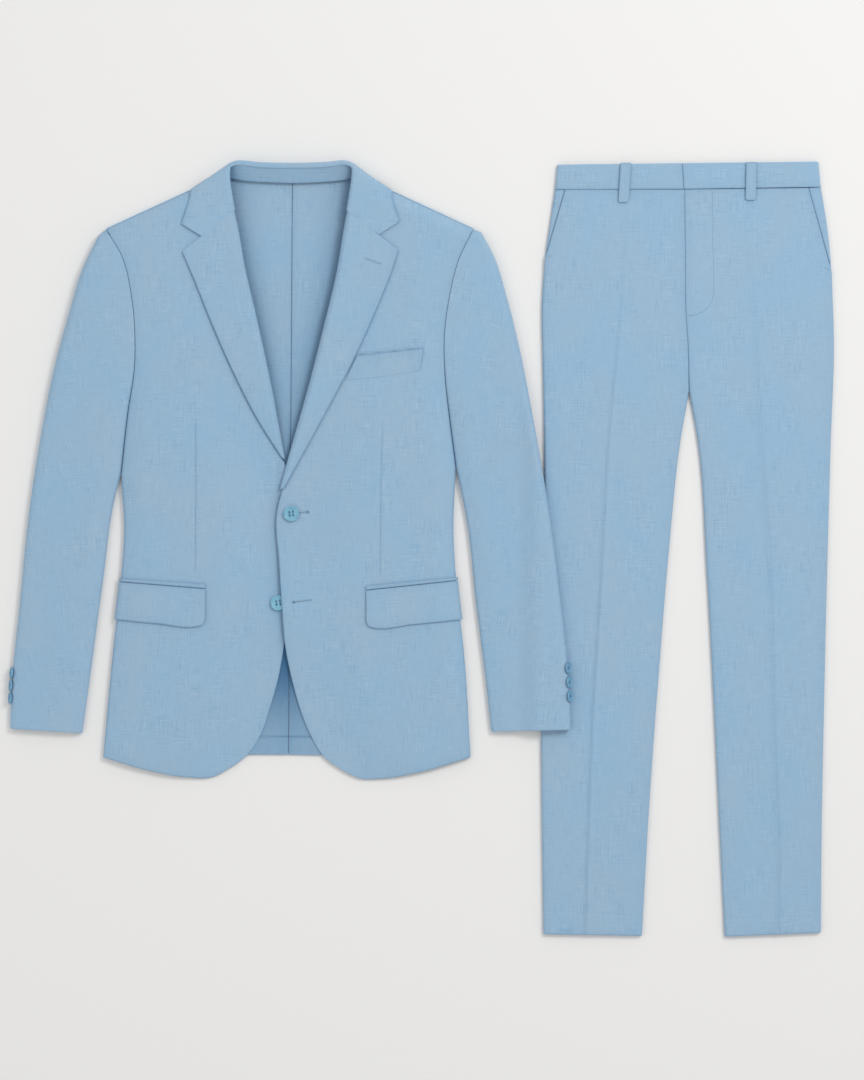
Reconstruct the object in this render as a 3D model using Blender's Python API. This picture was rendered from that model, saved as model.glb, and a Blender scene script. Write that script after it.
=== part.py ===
"""A two-piece suit laid flat: a single-breasted two-button jacket, and its trousers beside it.

The frame is +Z up with the floor at z = 0, and the suit lies on its back, with its head end
towards +Y. The jacket is on the -X side, and its left sleeve lies over the trousers' right
leg. Right and left are the wearer's, so the right side is at -X. Patterns are in
millimetres: "across" is measured from the centre line, and "up" from the hem.
"""

import math

import bmesh
import bpy
import numpy as np

# Driving dimensions, in millimetres.
JACKET_CENTRE = (-168.6, -268.6)  # the back seam at the hem, on the floor
TROUSERS_CENTRE = (341.6, -498.2)  # the fly line at the hem, on the floor
CLOTH = 1.6  # a panel's wall
SEAM = 0.4  # the gap between two pieces sewn together
SCYE_GAP = 1.4  # the gap where a sleeve is set into its armhole
LAY = 0.7  # the gap under a piece that lies on a panel
LIP = 0.6  # the turned edge at a fold, where two walls meet
NOSE = 4.0  # the radius of a fold's edge
BODY_FOLD = 32.0  # how far in the body's soft side reaches
SLEEVE_FOLD = 26.0  # the sleeve's inner side, which is fuller
SLEEVE_EDGE = 9.0  # the sleeve's outer side, pressed tighter
SHOULDER_FOLD = 18.0
LEG_FOLD = 6.0
UNDER_FOLD = 4.0  # the rounding below a fold
BODY_MIDDLE = 5.0  # the height of a fold's widest line
SLEEVE_MIDDLE = 5.0
LEG_MIDDLE = 3.6
LEG_HEIGHT = 7.2
BAND_HEIGHT = 7.8
LAPEL_TURN = 3.2  # the front's edge stops this far inside the roll line
ROLL = 8.0  # the width of the lapel's rounded fold
ROLL_SPRING = 2.0  # how far the lapel stands off its front along the roll
LAP, LAP_RISE = 26.0, 80.0  # how far in a front stays low, and then rises
COLLAR_ROLL = 5.5
COLLAR_BOW = 0.4
STAND_HOLLOW = -0.5
GORGE_UP = 704.0  # where the lapels end and the collar starts, on the roll line
FRONT_BUTTON = (10.0, 3.0)  # radius, thickness
CUFF_BUTTON = (7.6, 2.6)
BUTTON_RIM = 0.7
LOOP_WIDTH = 13.5
RIDE = 8.0  # how far the left sleeve is lifted where it lies on the trousers
RIDE_FROM, RIDE_TO = 123.0, 153.0  # where that lift starts and is full, in the frame's x
CUFF_GAP = 0.4  # under a cuff button, and under a front button
BUTTON_GAP = 1.4
JET_GAP = 0.6  # between a flap and its jet
FACING_GAP = 0.5  # between a pocket's mouth and its facing
FACING_START = 0.12  # the share up the pocket's mouth at which its facing starts
CORNER = 0.5  # the share along a front or a sleeve at which the armpit lies
BACK_CORNER = 0.6  # the share along a back panel at which its armhole starts
NECK_SHARE = 0.33  # the share of a back panel's top that is neck, before the shoulder
FOLD_LIMIT = 0.45  # the largest share of a panel's size that a fold takes
FACING_DROP = 0.4  # how far the slant pocket's facing lies below the front
FLAP_CORNER = (0.0, 0.03, 0.08, 0.14)  # shares along a flap, across its round corner
CROTCH = 0.73  # the share up a leg at which the crotch lies
HIP = 0.905  # the share up the outside leg at which the pocket's mouth starts

# Jacket edges, from the hem up: name, across, up.
FRONT_EDGE_RIGHT = (
    ("cutaway", -72, -11),
    ("cutaway top", -54, 4),
    ("quarter", -39, 26),
    ("vent side", -25, 66),
    ("vent", -15, 102),
    ("crossing", -8, 140),
    ("lower button", 3, 190),
    ("between", 11, 250),
    ("upper button", 13, 313),
    ("under the lap", 7, 352),
    ("break", -6, 384),
)
ROLL_RIGHT = (
    ("break", -6, 384),
    ("low chest", -25, 486),
    ("chest", -45, 578),
    ("upper chest", -57, 630),
    ("collarbone", -67, 686),
    ("gorge", -71, 704),
    ("neck side", -76, 737),
    ("neck point", -76, 750),
)
SIDE_RIGHT = (
    ("hem", -241, 0),
    ("seat", -229, 130),
    ("pocket", -219, 222),
    ("waist", -214, 292),
    ("armpit", -218, 364),
)
ARMHOLE_RIGHT = (
    ("armpit", -218, 364),
    ("scye", -208, 449),
    ("chest", -200, 500),
    ("front pitch", -199, 543),
    ("upper chest", -203, 592),
    ("shoulder run", -216, 646),
    ("shoulder", -237, 681),
)
SHOULDER_RIGHT = (
    ("neck point", -79, 750),
    ("collar", -104, 738),
    ("collar edge", -130, 728),
    ("beside the collar", -146, 725),
    ("shoulder", -237, 681),
)
HEM_RIGHT = (
    ("cutaway", -72, -11),
    ("front curve", -101, -26),
    ("front", -134, -26),
    ("dart", -188, -16),
    ("side", -241, 0),
)
FRONT_EDGE_LEFT = (
    ("cutaway", 72, -20),
    ("cutaway top", 43, 1),
    ("quarter", 27, 27),
    ("vent side", 16, 53),
    ("vent", 5, 90),
    ("crossing", -6, 144),
    ("lower button", -10, 194),
    ("between", -14, 253),
    ("upper button", -17, 313),
    ("break", -13, 345),
)
ROLL_LEFT = (
    ("break", -13, 345),
    ("v", -4, 379),
    ("low chest", 27, 489),
    ("chest", 44, 556),
    ("upper chest", 60, 623),
    ("collarbone", 71, 688),
    ("gorge", 74, 704),
    ("neck side", 79, 737),
    ("neck point", 79, 750),
)
SIDE_LEFT = (
    ("hem", 233, 0),
    ("seat", 225, 130),
    ("pocket", 215, 222),
    ("waist", 211, 292),
    ("armpit", 214, 374),
)
ARMHOLE_LEFT = (
    ("armpit", 214, 374),
    ("scye", 206, 435),
    ("chest", 200, 490),
    ("front pitch", 199, 544),
    ("upper chest", 205, 590),
    ("shoulder run", 218, 642),
    ("shoulder", 237, 681),
)
SHOULDER_LEFT = (
    ("neck point", 82, 750),
    ("collar", 106, 738),
    ("collar edge", 133, 727),
    ("beside the collar", 150, 723),
    ("shoulder", 237, 681),
)
HEM_LEFT = (
    ("cutaway", 72, -20),
    ("front curve", 92, -28),
    ("front", 116, -28),
    ("dart", 165, -20),
    ("side", 233, 0),
)
BACK_SEAM = (("hem", -2, 3), ("waist", 0, 300), ("neck", 3, 743))
BACK_HEM_RIGHT = (("seam", -2, 3), ("front gap", -60, 3), ("panel", -178, 0))
BACK_HEM_LEFT = (("seam", -2, 3), ("front gap", 45, 2), ("panel", 172, 0))
BACK_PANEL_RIGHT = (("hem", -178, 0), ("waist", -160, 280), ("armhole", -206, 455))
BACK_PANEL_LEFT = (("hem", 172, 0), ("waist", 158, 280), ("armhole", 204, 455))
NECK_RIGHT = (("centre", 3, 743), ("side", -48, 745), ("neck point", -76, 749))
NECK_LEFT = (("centre", 3, 743), ("side", 53, 745), ("neck point", 79, 749))

# Sleeve edges, from the cuff up.
SLEEVE_OUTER_RIGHT = (
    ("cuff", -361, 37),
    ("buttons", -359, 95),
    ("forearm", -349, 196),
    ("elbow", -338, 306),
    ("biceps", -321, 419),
    ("upper arm", -303, 508),
    ("deltoid", -285, 574),
    ("sleeve head", -269, 627),
    ("crown", -247, 673),
)
SLEEVE_INNER_RIGHT = (
    ("cuff", -268, 31),
    ("forearm", -256, 119),
    ("elbow", -241, 231),
    ("upper arm", -226, 335),
)
SLEEVE_OUTER_LEFT = (
    ("cuff", 362, 36),
    ("buttons", 360, 90),
    ("forearm", 348, 208),
    ("elbow", 332, 330),
    ("biceps", 313, 441),
    ("upper arm", 296, 529),
    ("deltoid", 279, 597),
    ("sleeve head", 264, 645),
    ("crown", 247, 677),
)
SLEEVE_INNER_LEFT = (
    ("cuff", 260, 33),
    ("forearm", 252, 105),
    ("elbow", 240, 201),
    ("upper arm", 229, 300),
)

# Lapels, from the break up, and the line that the gorge seam and the top edge lie on.
LAPEL_EDGE_RIGHT = (
    ("break", -10, 386),
    ("low chest", -41, 435),
    ("chest", -80, 503),
    ("belly", -110, 570),
    ("upper chest", -124, 615),
    ("tip", -138, 651),
)
LAPEL_EDGE_LEFT = (
    ("break", -8, 346),
    ("v", 8, 375),
    ("low chest", 45, 442),
    ("chest", 84, 516),
    ("belly", 119, 595),
    ("upper chest", 131, 625),
    ("tip", 140, 653),
)

# The collar, from its right end round the neck to its left end. A section starts at the fold,
# crosses the middle (at the ends the notch) and reaches the outer edge:
# name, fold across, up, height and turned-down depth, then middle and edge, each with its
# across, up and height.
COLLAR = (
    ("right gorge", -70, 705, 22.0, 5.0, -113, 671, 21.4, -139, 687, 21.4),
    ("right leaf", -73, 722, 22.5, 5.0, -106, 700, 21.6, -133, 705, 21.4),
    ("right neck side", -76, 742, 22.8, 4.6, -101, 728, 21.2, -128, 723, 18.8),
    ("right shoulder", -76, 755, 22.8, 3.6, -99, 747, 19.0, -126, 733, 13.0),
    ("right neck point", -74, 760, 22.2, 2.6, -88, 758, 14.0, -105, 747, 3.0),
    ("right corner", -64, 762, 21.2, 2.0, -69, 769, 12.0, -76, 764, 1.8),
    ("right nape", -38, 759, 20.6, 1.8, -38, 767, 12.0, -38, 763, 1.8),
    ("nape", 2, 758, 20.2, 1.8, 2, 766, 12.0, 2, 762, 1.8),
    ("left nape", 42, 759, 20.6, 1.8, 42, 767, 12.0, 42, 763, 1.8),
    ("left corner", 68, 762, 21.2, 2.0, 73, 769, 12.0, 80, 764, 1.8),
    ("left neck point", 78, 760, 22.2, 2.6, 92, 758, 14.0, 109, 746, 3.0),
    ("left shoulder", 80, 755, 22.8, 3.6, 103, 746, 19.0, 131, 731, 13.0),
    ("left neck side", 79, 742, 22.8, 4.6, 104, 728, 21.2, 132, 721, 18.8),
    ("left leaf", 76, 722, 22.5, 5.0, 108, 701, 21.6, 136, 706, 21.4),
    ("left gorge", 73, 705, 22.0, 5.0, 115, 673, 21.4, 142, 690, 21.4),
)
# The stand inside the neck, from right to left: its seam and its top, each with across, up and
# height.
STAND = (
    ("right end", -69, 746, 5.2, -67, 759, 17.4),
    ("right side", -52, 743, 4.2, -50, 758, 16.6),
    ("right nape", -28, 741, 3.8, -28, 757, 16.0),
    ("nape", 4, 740, 3.8, 2, 756, 15.8),
    ("left nape", 33, 741, 3.8, 32, 757, 16.0),
    ("left side", 56, 743, 4.2, 54, 758, 16.6),
    ("left end", 73, 746, 5.2, 71, 759, 17.4),
)

# Heights of the cloth's upper face: up, height.
BODY_HEIGHT = (
    (-30, 8.5),
    (0, 9.5),
    (110, 12.0),
    (230, 14.0),
    (310, 14.5),
    (400, 16.0),
    (500, 17.5),
    (620, 18.5),
    (760, 18.5),
)
RIGHT_EDGE_HEIGHT = (
    (-30, 4.6),
    (130, 4.8),
    (330, 5.0),
    (390, 7.0),
    (440, 11.0),
    (500, 14.5),
    (620, 17.5),
    (760, 18.5),
)
LEFT_EDGE_HEIGHT = (
    (-30, 5.0),
    (90, 6.5),
    (140, 9.5),
    (180, 13.0),
    (215, 13.0),
    (255, 10.5),
    (310, 10.0),
    (380, 11.0),
    (440, 13.0),
    (500, 15.5),
    (620, 17.5),
    (760, 18.5),
)
SLEEVE_HEIGHT = (
    (30, 11.5),
    (200, 12.5),
    (360, 14.0),
    (450, 16.0),
    (620, 18.5),
    (690, 18.0),
)
# How deep a front and its sleeve sink where they meet: up, share of the height.
ARMHOLE_SINK = ((300, 1.0), (372, 1.0), (440, 0.75), (500, 0.4), (560, 0.2), (690, 0.12))

# How deep a back panel's top edge turns up: distance from the centre, share of the height.
BACK_TOP_SINK = ((0, 0.0), (45, 0.0), (95, 1.0), (240, 1.0))
# The same for an under sleeve's armhole, by up.
SLEEVE_UNDER_SINK = ((0, 1.0), (350, 1.0), (380, 0.6), (430, 0.0), (690, 0.0))

# How deep the trousers' fronts sink where they meet, and where the pocket's mouth is, and how
# deep their backs turn up where they meet: up, share of the height.
POCKET_SINK = ((0, 1.0), (830, 1.0), (880, 0.25), (965, 0.1))
SEAT_SINK = ((0, 1.0), (690, 1.0), (720, 0.0), (965, 0.0))
CROTCH_SINK = ((0, 1.0), (705, 1.0), (740, 0.7), (780, 0.35), (830, 0.2), (965, 0.15))
LOOP_HEIGHT = ((944, 9.5), (957, 9.9), (966, 10.6), (999, 10.5))

# Trousers edges, from the hem up.
CENTRE_SEAM = (
    ("crotch", 5, 702),
    ("crotch curve", 3, 771),
    ("bartack", 1, 799),
    ("fly", 0, 880),
    ("waist", -1, 962),
)
INSIDE_LEG_RIGHT = (
    ("hem", -56, -1),
    ("shin", -45, 190),
    ("knee", -34, 339),
    ("thigh", -21, 497),
    ("upper thigh", -6, 639),
    ("crotch", 5, 702),
)
INSIDE_LEG_LEFT = (
    ("hem", 51, -2),
    ("shin", 43, 165),
    ("knee", 38, 275),
    ("thigh", 28, 467),
    ("upper thigh", 16, 639),
    ("crotch", 5, 702),
)
OUTSIDE_LEG_RIGHT = (
    ("hem", -183, 1),
    ("shin", -186, 260),
    ("thigh", -182, 639),
    ("upper thigh", -184, 743),
    ("hip", -185, 813),
    ("pocket end", -181, 873),
)
OUTSIDE_LEG_LEFT = (
    ("hem", 175, 3),
    ("shin", 176, 125),
    ("knee", 179, 284),
    ("thigh", 188, 639),
    ("upper thigh", 192, 760),
    ("pocket end", 189, 856),
)
POCKET_RIGHT = (("pocket end", -181, 873), ("pocket mouth", -155, 962))
POCKET_LEFT = (("pocket end", 189, 856), ("pocket mouth", 159, 964))
HIP_RIGHT = (("pocket end", -181, 873), ("hip", -174, 921), ("waist", -168, 962))
HIP_LEFT = (("pocket end", 189, 856), ("hip", 184, 908), ("waist", 175, 965))
WAIST_SEAM_RIGHT = (("centre", -1, 962), ("pocket mouth", -155, 962))
WAIST_SEAM_LEFT = (("centre", -1, 963), ("pocket mouth", 159, 964))
WAIST_BACK_RIGHT = (("centre", -1, 960), ("side", -168, 962))
WAIST_BACK_LEFT = (("centre", -1, 960), ("side", 175, 965))
LEG_HEM_RIGHT = (("inside", -56, -1), ("outside", -183, 1))
LEG_HEM_LEFT = (("inside", 51, -2), ("outside", 175, 3))
BAND_RIGHT = (("seam", -168, 963), ("top", -165, 994))
BAND_LEFT = (("seam", 175, 966), ("top", 172, 998))
BAND_CENTRE = (("seam", -2, 963), ("top", -4, 996))
# Belt loops: side, across at the lower end, across at the top, up at the lower end and the top.
LOOPS = (("right", -80, -77, 945, 996), ("left", 84, 85, 948, 997))

# Small pieces on a front: the lines along them, from the front end to the side.
FLAP_RIGHT_TOP = (("front", -108, 217), ("side", -220, 226))
FLAP_RIGHT_BOTTOM = (
    ("front", -109, 192),
    ("corner", -113, 175),
    ("round", -123, 168),
    ("side", -226, 178),
)
FLAP_LEFT_TOP = (("front", 98, 215), ("side", 217, 228))
FLAP_LEFT_BOTTOM = (
    ("front", 99, 189),
    ("corner", 103, 173),
    ("round", 113, 166),
    ("side", 222, 178),
)
JET_RIGHT = (("front", -108, 223.5), ("side", -220, 230.5))
JET_LEFT = (("front", 98, 221), ("side", 216, 232.5))
WELT_TOP = (("lapel", 87, 517), ("sleeve", 172, 526))
WELT_BOTTOM = (("lapel", 71, 485), ("middle", 114, 489), ("sleeve", 169, 498))
UPPER_BUTTON = (2, 314)
LOWER_BUTTON = (-15, 199)
CUFF_BUTTONS_RIGHT = (108, 92, 76)  # up, along the outer fold
CUFF_BUTTONS_LEFT = (115, 97, 79)
BUTTON_TILT_RIGHT = 68.0  # degrees, leaning out over the fold
BUTTON_TILT_LEFT = 56.0

# The number of facets round a fold's edge, and up the slope of a fold wider than WIDE_FOLD.
ROUND, SLOPE = 3, 2
WIDE_FOLD = 10.0

LINEN = (0.31, 0.47, 0.62)
HORN = (0.19, 0.45, 0.62)


def read_smooth(points, places, place):
    """The point at a place on a soft line through the points."""
    slopes = np.gradient(points, places, axis=0)
    place = min(max(place, places[0]), places[-1])
    i = min(int(np.searchsorted(places, place, side="right")) - 1, len(places) - 2)
    gap = places[i + 1] - places[i]
    u = (place - places[i]) / gap
    first = (2 * u**3 - 3 * u**2 + 1) * points[i] + (u**3 - 2 * u**2 + u) * gap * slopes[i]
    return first + (3 * u**2 - 2 * u**3) * points[i + 1] + (u**3 - u**2) * gap * slopes[i + 1]


def profile(rows):
    """A value that follows the table's rows of place and value, and never passes them."""
    places = np.array([row[0] for row in rows], float)
    values = np.array([row[1] for row in rows], float)

    def read(place):
        i = min(max(int(np.searchsorted(places, place)) - 1, 0), len(places) - 2)
        low, high = sorted(values[i : i + 2])
        return float(min(max(read_smooth(values, places, place), low), high))

    return read


def curve(rows, shift=0.0):
    """A soft edge through the table's rows, read by the share of its length."""
    points = np.array([row[1:] for row in rows], float)
    points[:, 0] += shift
    steps = np.linalg.norm(np.diff(points, axis=0), axis=1)
    places = np.concatenate(([0.0], np.cumsum(steps)))
    return lambda share: read_smooth(points, places, share * places[-1])


def chain(first, second, corner):
    """Two edges end to end, meeting at a corner that lies at a share of the whole."""

    def read(share):
        if share <= corner:
            return first(share / corner)
        return second((share - corner) / (1 - corner))

    return read


def always(value):
    return lambda place: value


class Panel:
    """A piece of cloth between four edges. near and far run up, low and high run across.

    folds gives, for an edge that rounds down, its width and its depth: the share of the drop
    to the fold's middle, read by up on the sides and by across on the high edge."""

    def __init__(self, near, far, low, high, height, middle, folds=None, under=False, ride=None):
        self.near, self.far, self.low, self.high = near, far, low, high
        self.height, self.middle, self.under = height, middle, under
        self.folds, self.ride = folds or {}, ride

    def plan(self, s, t):
        ruled = (1 - s) * self.near(t) + s * self.far(t)
        crossed = (1 - t) * self.low(s) + t * self.high(s)
        bottom = (1 - s) * self.low(0) + s * self.low(1)
        top = (1 - s) * self.high(0) + s * self.high(1)
        return ruled + crossed - (1 - t) * bottom - t * top

    def width(self, t):
        return float(np.linalg.norm(self.far(t) - self.near(t)))

    def length(self, s):
        return float(np.linalg.norm(self.high(s) - self.low(s)))

    def reach(self, edge, size):
        return min(self.folds[edge][0], FOLD_LIMIT * size)

    def rounding(self, s, t, across, up, nose):
        """How much of the nose and of the slope stands at a point, each 0 to 1."""
        edge_nose = slope = 1.0
        spans = {"near": (s, self.width(t)), "far": (1 - s, self.width(t))}
        spans["high"] = (1 - t, self.length(s))
        for edge, (_, depth) in self.folds.items():
            share, size = spans[edge]
            reach = self.reach(edge, size)
            sink = depth(across if edge == "high" else up)
            inside = min(share * size / min(nose, reach), 1.0)
            edge_nose *= 1 - sink * (1 - math.sqrt(max(0.0, 1 - (1 - inside) ** 2)))
            slope *= 1 - sink * (1 - math.sin(0.5 * math.pi * min(share * size / reach, 1.0)))
        return edge_nose, slope

    def point(self, s, t, lip=False):
        """The outer face: its across, up and height."""
        across, up = self.plan(s, t)
        if self.under:
            drop = self.middle - SEAM - LIP
            z = drop * (1 - self.rounding(s, t, across, up, drop)[0]) + LIP * lip
        else:
            rise = self.height(across, up, s, t) - self.middle - LIP
            nose = min(NOSE, rise)
            edge_nose, slope = self.rounding(s, t, across, up, nose)
            z = self.middle + LIP + nose * edge_nose + (rise - nose) * slope - LIP * lip
        if self.ride:
            z += self.ride(across)
        return np.array((across, up, z))

    def normal(self, s, t):
        step = 0.002
        side = self.point(min(s + step, 1), t) - self.point(max(s - step, 0), t)
        rise = self.point(s, min(t + step, 1)) - self.point(s, max(t - step, 0))
        out = np.cross(side, rise)
        return out * math.copysign(1, out[2]) / np.linalg.norm(out)

    def locate(self, across, up):
        """The shares s and t at which the panel passes over a place."""
        s = t = 0.5
        for _ in range(12):
            here = self.plan(s, t)
            step_s, step_t = (0.001 if share < 0.5 else -0.001 for share in (s, t))
            to_s = (self.plan(s + step_s, t) - here) / step_s
            to_t = (self.plan(s, t + step_t) - here) / step_t
            move = np.linalg.solve(np.column_stack((to_s, to_t)), (across, up) - here)
            s, t = (min(max(v, 0.0), 1.0) for v in (s + move[0], t + move[1]))
        return s, t

    def face(self, across, up):
        """The height of the upper face over a place."""
        return self.point(*self.locate(across, up))[2]

    def shares(self, edges, counts, size, corner=0.5):
        """Shares of the way between two edges, closer together round a fold, each with its
        lip flag. counts are the facets before the corner and after it."""
        ends = []
        for edge in edges:
            inside = []
            reach = self.reach(edge, size) if edge in self.folds else 0.0
            if reach:
                nose = min(NOSE, reach)
                inside = [nose * (1 - math.cos(0.5 * math.pi * i / ROUND)) for i in range(ROUND)]
                slope = SLOPE if self.folds[edge][0] > WIDE_FOLD else 1
                inside += list(np.linspace(nose, reach, slope + 1))[:-1]
            ends.append(([distance / size for distance in inside], reach / size))
        (first, start), (last, stop) = ends
        places = [(0.0, True)] * bool(first) + [(share, False) for share in first]
        plain = np.linspace(start, corner, counts[0] + 1)
        places += [(float(share), False) for share in plain]
        plain = np.linspace(corner, 1 - stop, counts[1] + 1)[1:]
        places += [(float(share), False) for share in plain]
        places += [(1 - share, False) for share in reversed(last)]
        return places + [(1.0, True)] * bool(last)


class Lapel(Panel):
    """A facing turned back over the roll line, lying on its front."""

    def __init__(self, near, far, low, high, on):
        super().__init__(near, far, low, high, None, 0.0, {"near": (ROLL, always(1.0))})
        self.on = on

    def point(self, s, t, lip=False):
        across, up = self.plan(s, t)
        base = self.on.face(across, up)
        turned = base - CLOTH
        full = base + LAY + CLOTH + ROLL_SPRING * (1 - s) ** 2
        rise = self.rounding(s, t, across, up, ROLL)[0]
        return np.array((across, up, turned + (full - turned) * rise - LIP * lip))


def finish(name, colour, roughness):
    """The piece's own material."""
    material = bpy.data.materials.new(name)
    material.diffuse_color = (*colour, 1)
    material.use_nodes = True
    shader = material.node_tree.nodes["Principled BSDF"]
    shader.inputs["Base Color"].default_value = (*colour, 1)
    shader.inputs["Roughness"].default_value = roughness
    shader.inputs["Metallic"].default_value = 0.0
    return material


def add_object(name, form, colour, roughness):
    mesh = bpy.data.meshes.new(name)
    form.to_mesh(mesh)
    form.free()
    piece = bpy.data.objects.new(name, mesh)
    bpy.context.collection.objects.link(piece)
    mesh.materials.append(finish(name, colour, roughness))
    return piece


def wall(name, table, centre, thickness=CLOTH, up=False):
    """A wall of cloth on a table of points, rows of columns, thickened down or up."""
    rows, columns = len(table), len(table[0])
    form = bmesh.new()
    bmesh.ops.create_grid(form, x_segments=columns - 1, y_segments=rows - 1, size=1)
    for vert in form.verts:
        column = round((vert.co.x + 1) / 2 * (columns - 1))
        row = round((vert.co.y + 1) / 2 * (rows - 1))
        across, along, height = table[row][column]
        vert.co = ((centre[0] + across) / 1000, (centre[1] + along) / 1000, height / 1000)
    bmesh.ops.remove_doubles(form, verts=form.verts, dist=1e-6)
    form.normal_update()
    if sum(face.normal.z * face.calc_area() for face in form.faces) < 0:
        bmesh.ops.reverse_faces(form, faces=form.faces)
    piece = add_object(name, form, LINEN, 0.8)
    solid = piece.modifiers.new("wall", "SOLIDIFY")
    solid.thickness = thickness / 1000
    solid.offset = 1 if up else -1
    return piece


def cloth(name, panel, centre, rows, columns, corner=0.5):
    """A panel's own wall. rows are the facets below and above the corner, where an edge turns,
    and columns those on each side of the middle."""
    table = []
    for t, end_lip in panel.shares(("low", "high"), rows, panel.length(0.5), corner):
        line = panel.shares(("near", "far"), columns, panel.width(t))
        table.append([panel.point(s, t, lip or end_lip) for s, lip in line])
    wall(name, table, centre, up=panel.under)


def laid(name, panel, centre, bottom, top, shares, rows=1):
    """A piece lying on a panel between two lines, moved out from the panel's own points."""
    table = []
    for i in range(rows + 1):
        line = []
        for share in shares:
            place = bottom(share) + (top(share) - bottom(share)) * i / rows
            s, t = panel.locate(*place)
            line.append(panel.point(s, t) + panel.normal(s, t) * (LAY + CLOTH))
        table.append(line)
    wall(name, table, centre)


def toward_side(length, start=()):
    """Shares along a small piece that ends at a side fold, closer together round it."""
    nose = [1 - NOSE * (1 - math.cos(0.5 * math.pi * i / ROUND)) / length for i in range(ROUND)]
    slope = [1 - distance / length for distance in (NOSE, 0.5 * (NOSE + BODY_FOLD), BODY_FOLD)]
    plain = [share for share in np.linspace(0, slope[-1], 5) if share > max(start, default=-1)]
    return list(start) + plain[:-1] + slope[::-1] + nose[::-1]


def button(name, centre, place, size, tilt=0.0, turn=0.0):
    """A round button, dished inside a raised rim, leaning over by tilt towards turn."""
    radius, half = size[0] / 1000, size[1] / 2000
    rim = BUTTON_RIM / 1000
    outline = (
        (0, -half),
        (radius, -half),
        (radius, 0.5 * half),
        (radius - rim, half),
        (radius - 3 * rim, 0.4 * half),
        (0, 0.4 * half),
    )
    form = bmesh.new()
    verts = [form.verts.new((x, 0, z)) for x, z in outline]
    edges = [form.edges.new(pair) for pair in zip(verts, verts[1:])]
    bmesh.ops.spin(
        form,
        geom=verts + edges,
        axis=(0, 0, 1),
        cent=(0, 0, 0),
        angle=math.tau,
        steps=16,
        use_merge=True,
    )
    bmesh.ops.remove_doubles(form, verts=form.verts, dist=1e-6)
    bmesh.ops.recalc_face_normals(form, faces=form.faces)
    piece = add_object(name, form, HORN, 0.35)
    piece.rotation_euler = (0, math.radians(tilt), math.radians(turn))
    across, up, height = place
    piece.location = ((centre[0] + across) / 1000, (centre[1] + up) / 1000, height / 1000)


def make_front(side, edge, roll, outer, armhole, hem, shoulder, edge_height):
    """A jacket front, from its edge and roll line to the side fold and armhole."""
    sign = -1 if side == "right" else 1
    body, at_edge = profile(BODY_HEIGHT), profile(edge_height)

    def height(across, up, s, t):
        share = min(max((s * panel.width(t) - LAP) / LAP_RISE, 0.0), 1.0)
        share = share * share * (3 - 2 * share)
        return (1 - share) * at_edge(up) + share * body(up)

    roll_line = curve(roll, sign * LAPEL_TURN)
    near = chain(curve(edge[:-1] + (("break", *roll_line(0)),)), roll_line, CORNER)
    far = chain(curve(outer), curve(armhole), CORNER)
    high = curve((("neck point", *roll_line(1)),) + shoulder[1:])
    folds = {"far": (BODY_FOLD, profile(ARMHOLE_SINK)), "high": (SHOULDER_FOLD, always(1.0))}
    panel = Panel(near, far, curve(hem), high, height, BODY_MIDDLE, folds)
    cloth(f"jacket_front_{side}", panel, JACKET_CENTRE, (5, 6), (2, 2), CORNER)
    return panel


def make_lapel(side, on, roll, edge):
    """A lapel, from the break to the gorge seam and the notch."""
    line = tuple(row for row in roll if row[2] <= GORGE_UP)
    start, tip = (("roll", *line[0][1:]), ("edge", *edge[0][1:])), edge[-1]
    seam = (("gorge", *line[-1][1:]), ("tip", *tip[1:]))
    panel = Lapel(curve(line), curve(edge), curve(start), curve(seam), on)
    cloth(f"lapel_{side}", panel, JACKET_CENTRE, (4, 4), (1, 1))


def make_back(side, hem, inner, armhole, neck, shoulder):
    """A back panel, from the centre seam to the side body and the armhole."""
    sign = -1 if side == "right" else 1
    open_part = tuple(row for row in armhole if row[2] > inner[-1][2])
    scye = curve((inner[-1],) + open_part, -sign * SCYE_GAP)
    far = chain(curve(inner[:-1] + (("armhole", *scye(0)),)), scye, BACK_CORNER)
    high = chain(curve(neck), curve((neck[-1],) + shoulder[1:]), NECK_SHARE)
    sink = profile(BACK_TOP_SINK)
    folds = {"high": (UNDER_FOLD, lambda across: sink(abs(across)))}
    near = curve(BACK_SEAM, sign * SEAM / 2)
    panel = Panel(near, far, curve(hem), high, None, BODY_MIDDLE, folds, under=True)
    cloth(f"jacket_back_{side}", panel, JACKET_CENTRE, (4, 5), (2, 3), BACK_CORNER)


def make_side_body(side, outer, armhole, inner):
    """The underarm panel: from the fold's middle round under to the back panel."""
    sign = -1 if side == "right" else 1
    near = curve(inner, sign * SEAM)
    low = curve((("back", *near(0)), ("side", *outer[0][1:])))
    top = tuple(row for row in armhole if row[2] < inner[-1][2])
    high = curve((("back", *near(1)),) + top[::-1], -sign * SCYE_GAP)
    folds = {"far": (UNDER_FOLD, always(1.0))}
    panel = Panel(near, curve(outer), low, high, None, BODY_MIDDLE, folds, under=True)
    cloth(f"jacket_side_body_{side}", panel, JACKET_CENTRE, (2, 2), (1, 1))


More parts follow.
